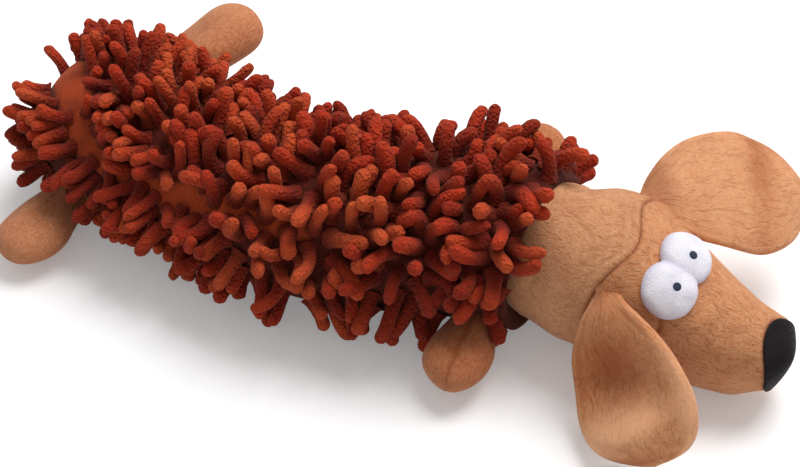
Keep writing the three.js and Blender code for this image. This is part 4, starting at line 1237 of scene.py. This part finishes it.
def build_paws():
    """Each paw: a stuffed mitten with a seam down its middle and folds from its root."""
    for seed, paw in enumerate(PAWS, 40):
        soft, folds = smooth_noise(seed, 9.0), smooth_noise(seed + 10, 3.2)

        def spot(s, angle):
            p = paw.point(s, angle)
            seam = hump(abs(math.sin(angle)), 0, 0.1)
            gather = (1 - smoothstep(s, 0, paw.length * 0.9)) * folds(np.array((s * 0.3, angle * 7, 0)))[0]
            p = paw.point(s, angle, (soft(p)[0] + gather) * 0.8 - paw.crease * seam)
            # Painted shade in the seam's crease, near the root under the pile, in the gathered folds and from the
            # paw's own shade; painted light on the upper side.
            hidden = 1 - smoothstep(s, 2, 14)
            shade = paw.crease_shade * seam + 0.6 * hidden + max(0.0, -gather) * 0.3 + paw.shade
            return above(p, 0.6), min(0.8, shade), paw.pale * smoothstep(math.cos(angle - 0.4), 0.1, 0.95)

        straight = paw.length - PAW_TIP_DOME
        tip = paw.length - PAW_TIP_DOME * (1 - np.sin(np.linspace(0.05, 1.5, 20)))
        rows, marks = swept((*np.linspace(-5, straight, 34), *tip), turns(84), spot)
        end = above(paw.root + paw.ahead * paw.length, 0.8)
        made = skin(paw.name + "_plush", rows, paw.root - paw.ahead * 7, end,
                    shade=marks[:, 0], pale=marks[:, 1])
        dress(made, "paw", "plush", paw.name + "_front_panel", paw.name + "_back_panel", body=paw.name)


# Stitches

def build_stitches():
    tree = stitch_tree()
    made = grow("cheek_stitches", [cheek_line(-0.5)], tree, "thread",
                Pitch=0.0024, Stitch_Length=0.0017, Thread=0.00022, Slant=0.2)
    dress(made, "thread", "plush", body="head")
    for paw in PAWS:
        stations = np.linspace(PAW_ROOT_HIDDEN, paw.length - 1.5, 26)
        lines = [[above(paw.point(s, angle, -0.75), 1.0) for s in stations] for angle in (0.0, math.pi)]
        made = grow(paw.name + "_stitches", lines, tree, "thread",
                    Pitch=0.0026, Stitch_Length=0.0016, Thread=0.0002, Slant=0.3)
        dress(made, "thread", "plush", body=paw.name)


# Inside

def finish_inside():
    """Fibre, vinyl and reed finishes for the stuffing and the squeaker, which keep their modelled shapes."""
    for row in frame["record"]["subparts"]:
        if row["material_slot"] in ("filling", "vinyl", "reed"):
            materials = frame["nodes"][row["node"]].data.materials
            materials.clear()
            materials.append(finishes[row["material_slot"]])
    bellows = frame["nodes"]["squeaker_bellows"]
    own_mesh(bellows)


# Stage: angles are in degrees, places and sizes in metres, and the sensor's width in millimetres

CAMERA_AZIMUTH, CAMERA_ELEVATION, CAMERA_ROLL, CAMERA_DISTANCE = 34.8, 46.6, -4.2, 0.7436
CAMERA_TARGET, CAMERA_CLIP = Vector((0.0416, 0.0106, 0.0309)), (0.01, 20)
SENSOR_WIDTH, PICTURE_WIDTH, FOCAL_PIXELS = 36.0, 800, 1866.9
KEY_PLACE, KEY_SIZE, FILL_PLACE, FILL_SIZE = (0.2, 0.75, 1.45), 1.0, (0.9, -1.1, 0.9), 1.2
LAMP_TARGET, WHITE = Vector((0.03, 0.01, 0.03)), (1, 1, 1, 1)
# Half the floor's side, in millimetres.
FLOOR_HALF = 3000


def build_floor(s):
    corners = [(FLOOR_HALF * x, FLOOR_HALF * y, 0) for x, y in ((-1, -1), (1, -1), (1, 1), (-1, 1))]
    floor = new_object("floor", corners, [(0, 1, 2, 3)])
    dark, bright = (*s.floor, 1), (*(min(1, c * 1.02) for c in s.floor), 1)
    material, w, shader = new_material("Pale floor", dark, 0.0, 0.45)
    w.put(shader, "Base Color", w.mix(w.noise(w.place(), 6.0), dark, bright))
    seen = w.add("ShaderNodeLightPath").outputs["Is Camera Ray"]
    w.put(shader, "Emission Color", w.mix(seen, (0, 0, 0, 1), WHITE))
    w.put(shader, "Emission Strength", s.floor_glow)
    floor.data.materials.append(material)


def build_room(s):
    """Even light from all round, and plain white where the camera or a shiny surface sees it."""
    world = bpy.data.worlds.new("Soft room")
    bpy.context.scene.world = world
    world.use_nodes = True
    world.node_tree.nodes.clear()
    w = Wiring(world.node_tree)
    end, path = w.add("ShaderNodeOutputWorld"), w.add("ShaderNodeLightPath").outputs
    room = w.add("ShaderNodeBackground", None, Color=WHITE, Strength=s.room_light)
    white = w.add("ShaderNodeBackground", None, Color=WHITE, Strength=1.0)
    seen = w.math("MAXIMUM", path["Is Camera Ray"], path["Is Glossy Ray"])
    blend = w.add("ShaderNodeMixShader", None, Fac=seen)
    w.put(blend, "1", room.outputs[0])
    w.put(blend, "2", white.outputs[0])
    w.put(end, "Surface", blend.outputs[0])


def build_lamp(name, at, power, size):
    lamp = bpy.data.lights.new(name, "AREA")
    lamp.energy, lamp.size = power, size
    light = bpy.data.objects.new(name, lamp)
    bpy.context.scene.collection.objects.link(light)
    light.location = at
    light.rotation_mode = "QUATERNION"
    light.rotation_quaternion = (LAMP_TARGET - Vector(at)).to_track_quat("-Z", "Y")


def build_camera():
    azimuth, elevation, roll = map(math.radians, (CAMERA_AZIMUTH, CAMERA_ELEVATION, CAMERA_ROLL))
    level = math.cos(elevation)
    back = Vector((math.sin(azimuth) * level, -math.cos(azimuth) * level, math.sin(elevation)))
    right = Vector((math.cos(azimuth), math.sin(azimuth), 0))
    up = back.cross(right)
    across, over = right * math.cos(roll) + up * math.sin(roll), up * math.cos(roll) - right * math.sin(roll)
    lens = bpy.data.cameras.new("photograph")
    lens.sensor_width, lens.lens = SENSOR_WIDTH, FOCAL_PIXELS / PICTURE_WIDTH * SENSOR_WIDTH
    lens.clip_start, lens.clip_end = CAMERA_CLIP
    camera = bpy.data.objects.new("photograph", lens)
    bpy.context.scene.collection.objects.link(camera)
    turned = Matrix((across, over, back)).transposed().to_4x4()
    camera.matrix_world = Matrix.Translation(CAMERA_TARGET + back * CAMERA_DISTANCE) @ turned
    bpy.context.scene.camera = camera


# What a user can change

def measure(name, description, default, least):
    return bpy.props.FloatProperty(
        name=name, description=description, default=default, min=least, unit="LENGTH")


def tint(name, description, *shown):
    return bpy.props.FloatVectorProperty(
        name=name, description=description, subtype="COLOR", size=3, min=0, max=1, default=colour(*shown)[:3])


def strength(name, description, default, unit="NONE"):
    return bpy.props.FloatProperty(name=name, description=description, default=default, min=0, unit=unit)


class PlushDogSizes(bpy.types.PropertyGroup):
    noodle_length: measure("Noodle length", "How long each pile noodle is", 0.0190, 0.005)
    noodle_thickness: measure("Noodle thickness", "How thick each pile noodle is", 0.0062, 0.002)
    noodle_pitch: measure("Noodle pitch", "Distance between the noodles' roots", 0.0079, 0.004)
    noodle_lumps: measure("Noodle lumps", "How far the yarn bulges along a noodle", 0.0006, 0.0)


class PlushDogColours(bpy.types.PropertyGroup):
    pile: tint("Pile", "Rust colour of the noodles", 182, 49, 20)
    # Also the painted shade toward the noodles' roots and on the body's lower sides.
    pile_shade: tint("Pile shade", "Maroon between the noodles", 94, 19, 8)
    pile_light: tint("Pile light", "Orange rust of the brightest noodles", 206, 88, 44)
    # Painted shade: the colour laid on the backing for the shade deep between the noodles.
    gaps: tint("Gaps", "Dark backing deep between the noodles", 66, 14, 7)
    backing: tint("Backing", "Bare backing in the parting", 192, 76, 34)
    plush: tint("Plush", "Tan plush of the neck", 192, 132, 91)
    muzzle: tint("Muzzle", "Warmer plush of the brow and muzzle", 200, 131, 85)
    ear: tint("Ear", "Deeper plush of the ears", 206, 132, 82)
    # Painted shade for the ears' hollows, sewing and root, and the shade of the nap's dashes.
    ear_shade: tint("Ear shade", "Ears where the nap lies the darker way", 146, 64, 20)
    # Painted light where the ears and paws turn up to the lamp.
    ear_light: tint("Ear light", "Ears where the nap lies the paler way", 250, 190, 146)
    # Also the painted shade in the seams, creases and hollows of the neck, head and paws.
    plush_shade: tint("Plush shade", "Tan plush where the nap parts", 152, 80, 40)
    plush_light: tint("Plush light", "Tips of the tan plush", 216, 160, 118)
    paw: tint("Paw", "Paler plush of the paws", 178, 106, 66)
    paw_light: tint("Paw light", "Tips of the paws' plush", 206, 138, 98)
    eye: tint("Eye", "White fleece of the eyes", 246, 243, 249)
    nose: tint("Nose", "Black cloth of the nose", 18, 14, 16)


class PlushDogStage(bpy.types.PropertyGroup):
    floor: bpy.props.FloatVectorProperty(
        name="Floor", description="Colour of the floor", subtype="COLOR", size=3, min=0, max=1,
        default=(0.93, 0.93, 0.93))
    floor_glow: strength("Floor glow", "How far the floor is lifted to white where the camera sees it", 0.2)
    room_light: strength("Room light", "Even light from all round", 0.36)
    key_power: strength("Key power", "Soft lamp above and behind", 25.0, "POWER")
    fill_power: strength("Fill power", "Soft lamp by the camera", 1.4, "POWER")


# One step for each piece

class PLUSHDOG_OT_finishes(bpy.types.Operator):
    """Make the toy's fabrics and give the parts inside theirs"""
    bl_idname = "plush_dog.finishes"
    bl_label = "Fabrics and inside"

    def execute(self, context):
        make_finishes()
        finish_inside()
        return {"FINISHED"}


class PLUSHDOG_OT_body(bpy.types.Operator):
    """Sew the stuffed body that carries the pile"""
    bl_idname = "plush_dog.body"
    bl_label = "Body"

    def execute(self, context):
        build_body()
        return {"FINISHED"}


class PLUSHDOG_OT_mop(bpy.types.Operator):
    """Grow and settle the pile noodles"""
    bl_idname = "plush_dog.mop"
    bl_label = "Mop pile"

    def execute(self, context):
        build_mop()
        return {"FINISHED"}


class PLUSHDOG_OT_neck(bpy.types.Operator):
    """Sew the neck and the fibre under it"""
    bl_idname = "plush_dog.neck"
    bl_label = "Neck"

    def execute(self, context):
        build_neck()
        build_neck_stuffing()
        return {"FINISHED"}


class PLUSHDOG_OT_head(bpy.types.Operator):
    """Sew the head from the neck seam to the nose seam"""
    bl_idname = "plush_dog.head"
    bl_label = "Head"

    def execute(self, context):
        build_head()
        return {"FINISHED"}


class PLUSHDOG_OT_nose(bpy.types.Operator):
    """Cap the muzzle with the nose"""
    bl_idname = "plush_dog.nose"
    bl_label = "Nose"

    def execute(self, context):
        build_nose()
        return {"FINISHED"}


class PLUSHDOG_OT_eyes(bpy.types.Operator):
    """Sew on the padded eyes and their pupils"""
    bl_idname = "plush_dog.eyes"
    bl_label = "Eyes"

    def execute(self, context):
        build_eye_pad()
        build_pupils()
        return {"FINISHED"}


class PLUSHDOG_OT_ears(bpy.types.Operator):
    """Hang the two ears"""
    bl_idname = "plush_dog.ears"
    bl_label = "Ears"

    def execute(self, context):
        build_ears()
        return {"FINISHED"}


class PLUSHDOG_OT_paws(bpy.types.Operator):
    """Stuff the four paws"""
    bl_idname = "plush_dog.paws"
    bl_label = "Paws"

    def execute(self, context):
        build_paws()
        return {"FINISHED"}


class PLUSHDOG_OT_stitches(bpy.types.Operator):
    """Stitch the cheek dart and the paws' seams"""
    bl_idname = "plush_dog.stitches"
    bl_label = "Stitches"

    def execute(self, context):
        build_stitches()
        return {"FINISHED"}


class PLUSHDOG_OT_stage(bpy.types.Operator):
    """Set the floor, soft lamps and camera"""
    bl_idname = "plush_dog.stage"
    bl_label = "Stage"

    def execute(self, context):
        s = context.scene.plush_dog_stage
        build_floor(s)
        build_room(s)
        build_lamp("key", KEY_PLACE, s.key_power, KEY_SIZE)
        build_lamp("fill", FILL_PLACE, s.fill_power, FILL_SIZE)
        build_camera()
        context.scene.view_settings.view_transform = "Standard"
        return {"FINISHED"}


STEPS = (PLUSHDOG_OT_finishes, PLUSHDOG_OT_body, PLUSHDOG_OT_mop, PLUSHDOG_OT_neck, PLUSHDOG_OT_head,
         PLUSHDOG_OT_nose, PLUSHDOG_OT_eyes, PLUSHDOG_OT_ears, PLUSHDOG_OT_paws, PLUSHDOG_OT_stitches,
         PLUSHDOG_OT_stage)
GROUPS = {
    "plush_dog_sizes": PlushDogSizes,
    "plush_dog_colours": PlushDogColours,
    "plush_dog_stage": PlushDogStage,
}


class PLUSHDOG_PT_panel(bpy.types.Panel):
    bl_label = "Plush dog"
    bl_idname = "PLUSHDOG_PT_panel"
    bl_space_type = "VIEW_3D"
    bl_region_type = "UI"
    bl_category = "Plush dog"

    def draw(self, context):
        for group in (getattr(context.scene, name) for name in GROUPS):
            box = self.layout.box()
            for name in group.bl_rna.properties.keys():
                if name not in ("rna_type", "name"):
                    box.prop(group, name)
        for step in STEPS:
            self.layout.operator(step.bl_idname)


CLASSES = (*GROUPS.values(), *STEPS, PLUSHDOG_PT_panel)


def register():
    for made in CLASSES:
        bpy.utils.register_class(made)
    for name, group in GROUPS.items():
        setattr(bpy.types.Scene, name, bpy.props.PointerProperty(type=group))


def unregister():
    for name in GROUPS:
        delattr(bpy.types.Scene, name)
    for made in reversed(CLASSES):
        bpy.utils.unregister_class(made)


def main():
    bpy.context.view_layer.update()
    register()
    for step in STEPS:
        _, name = step.bl_idname.split(".")
        getattr(bpy.ops.plush_dog, name)()


if __name__ == "__main__":
    main()
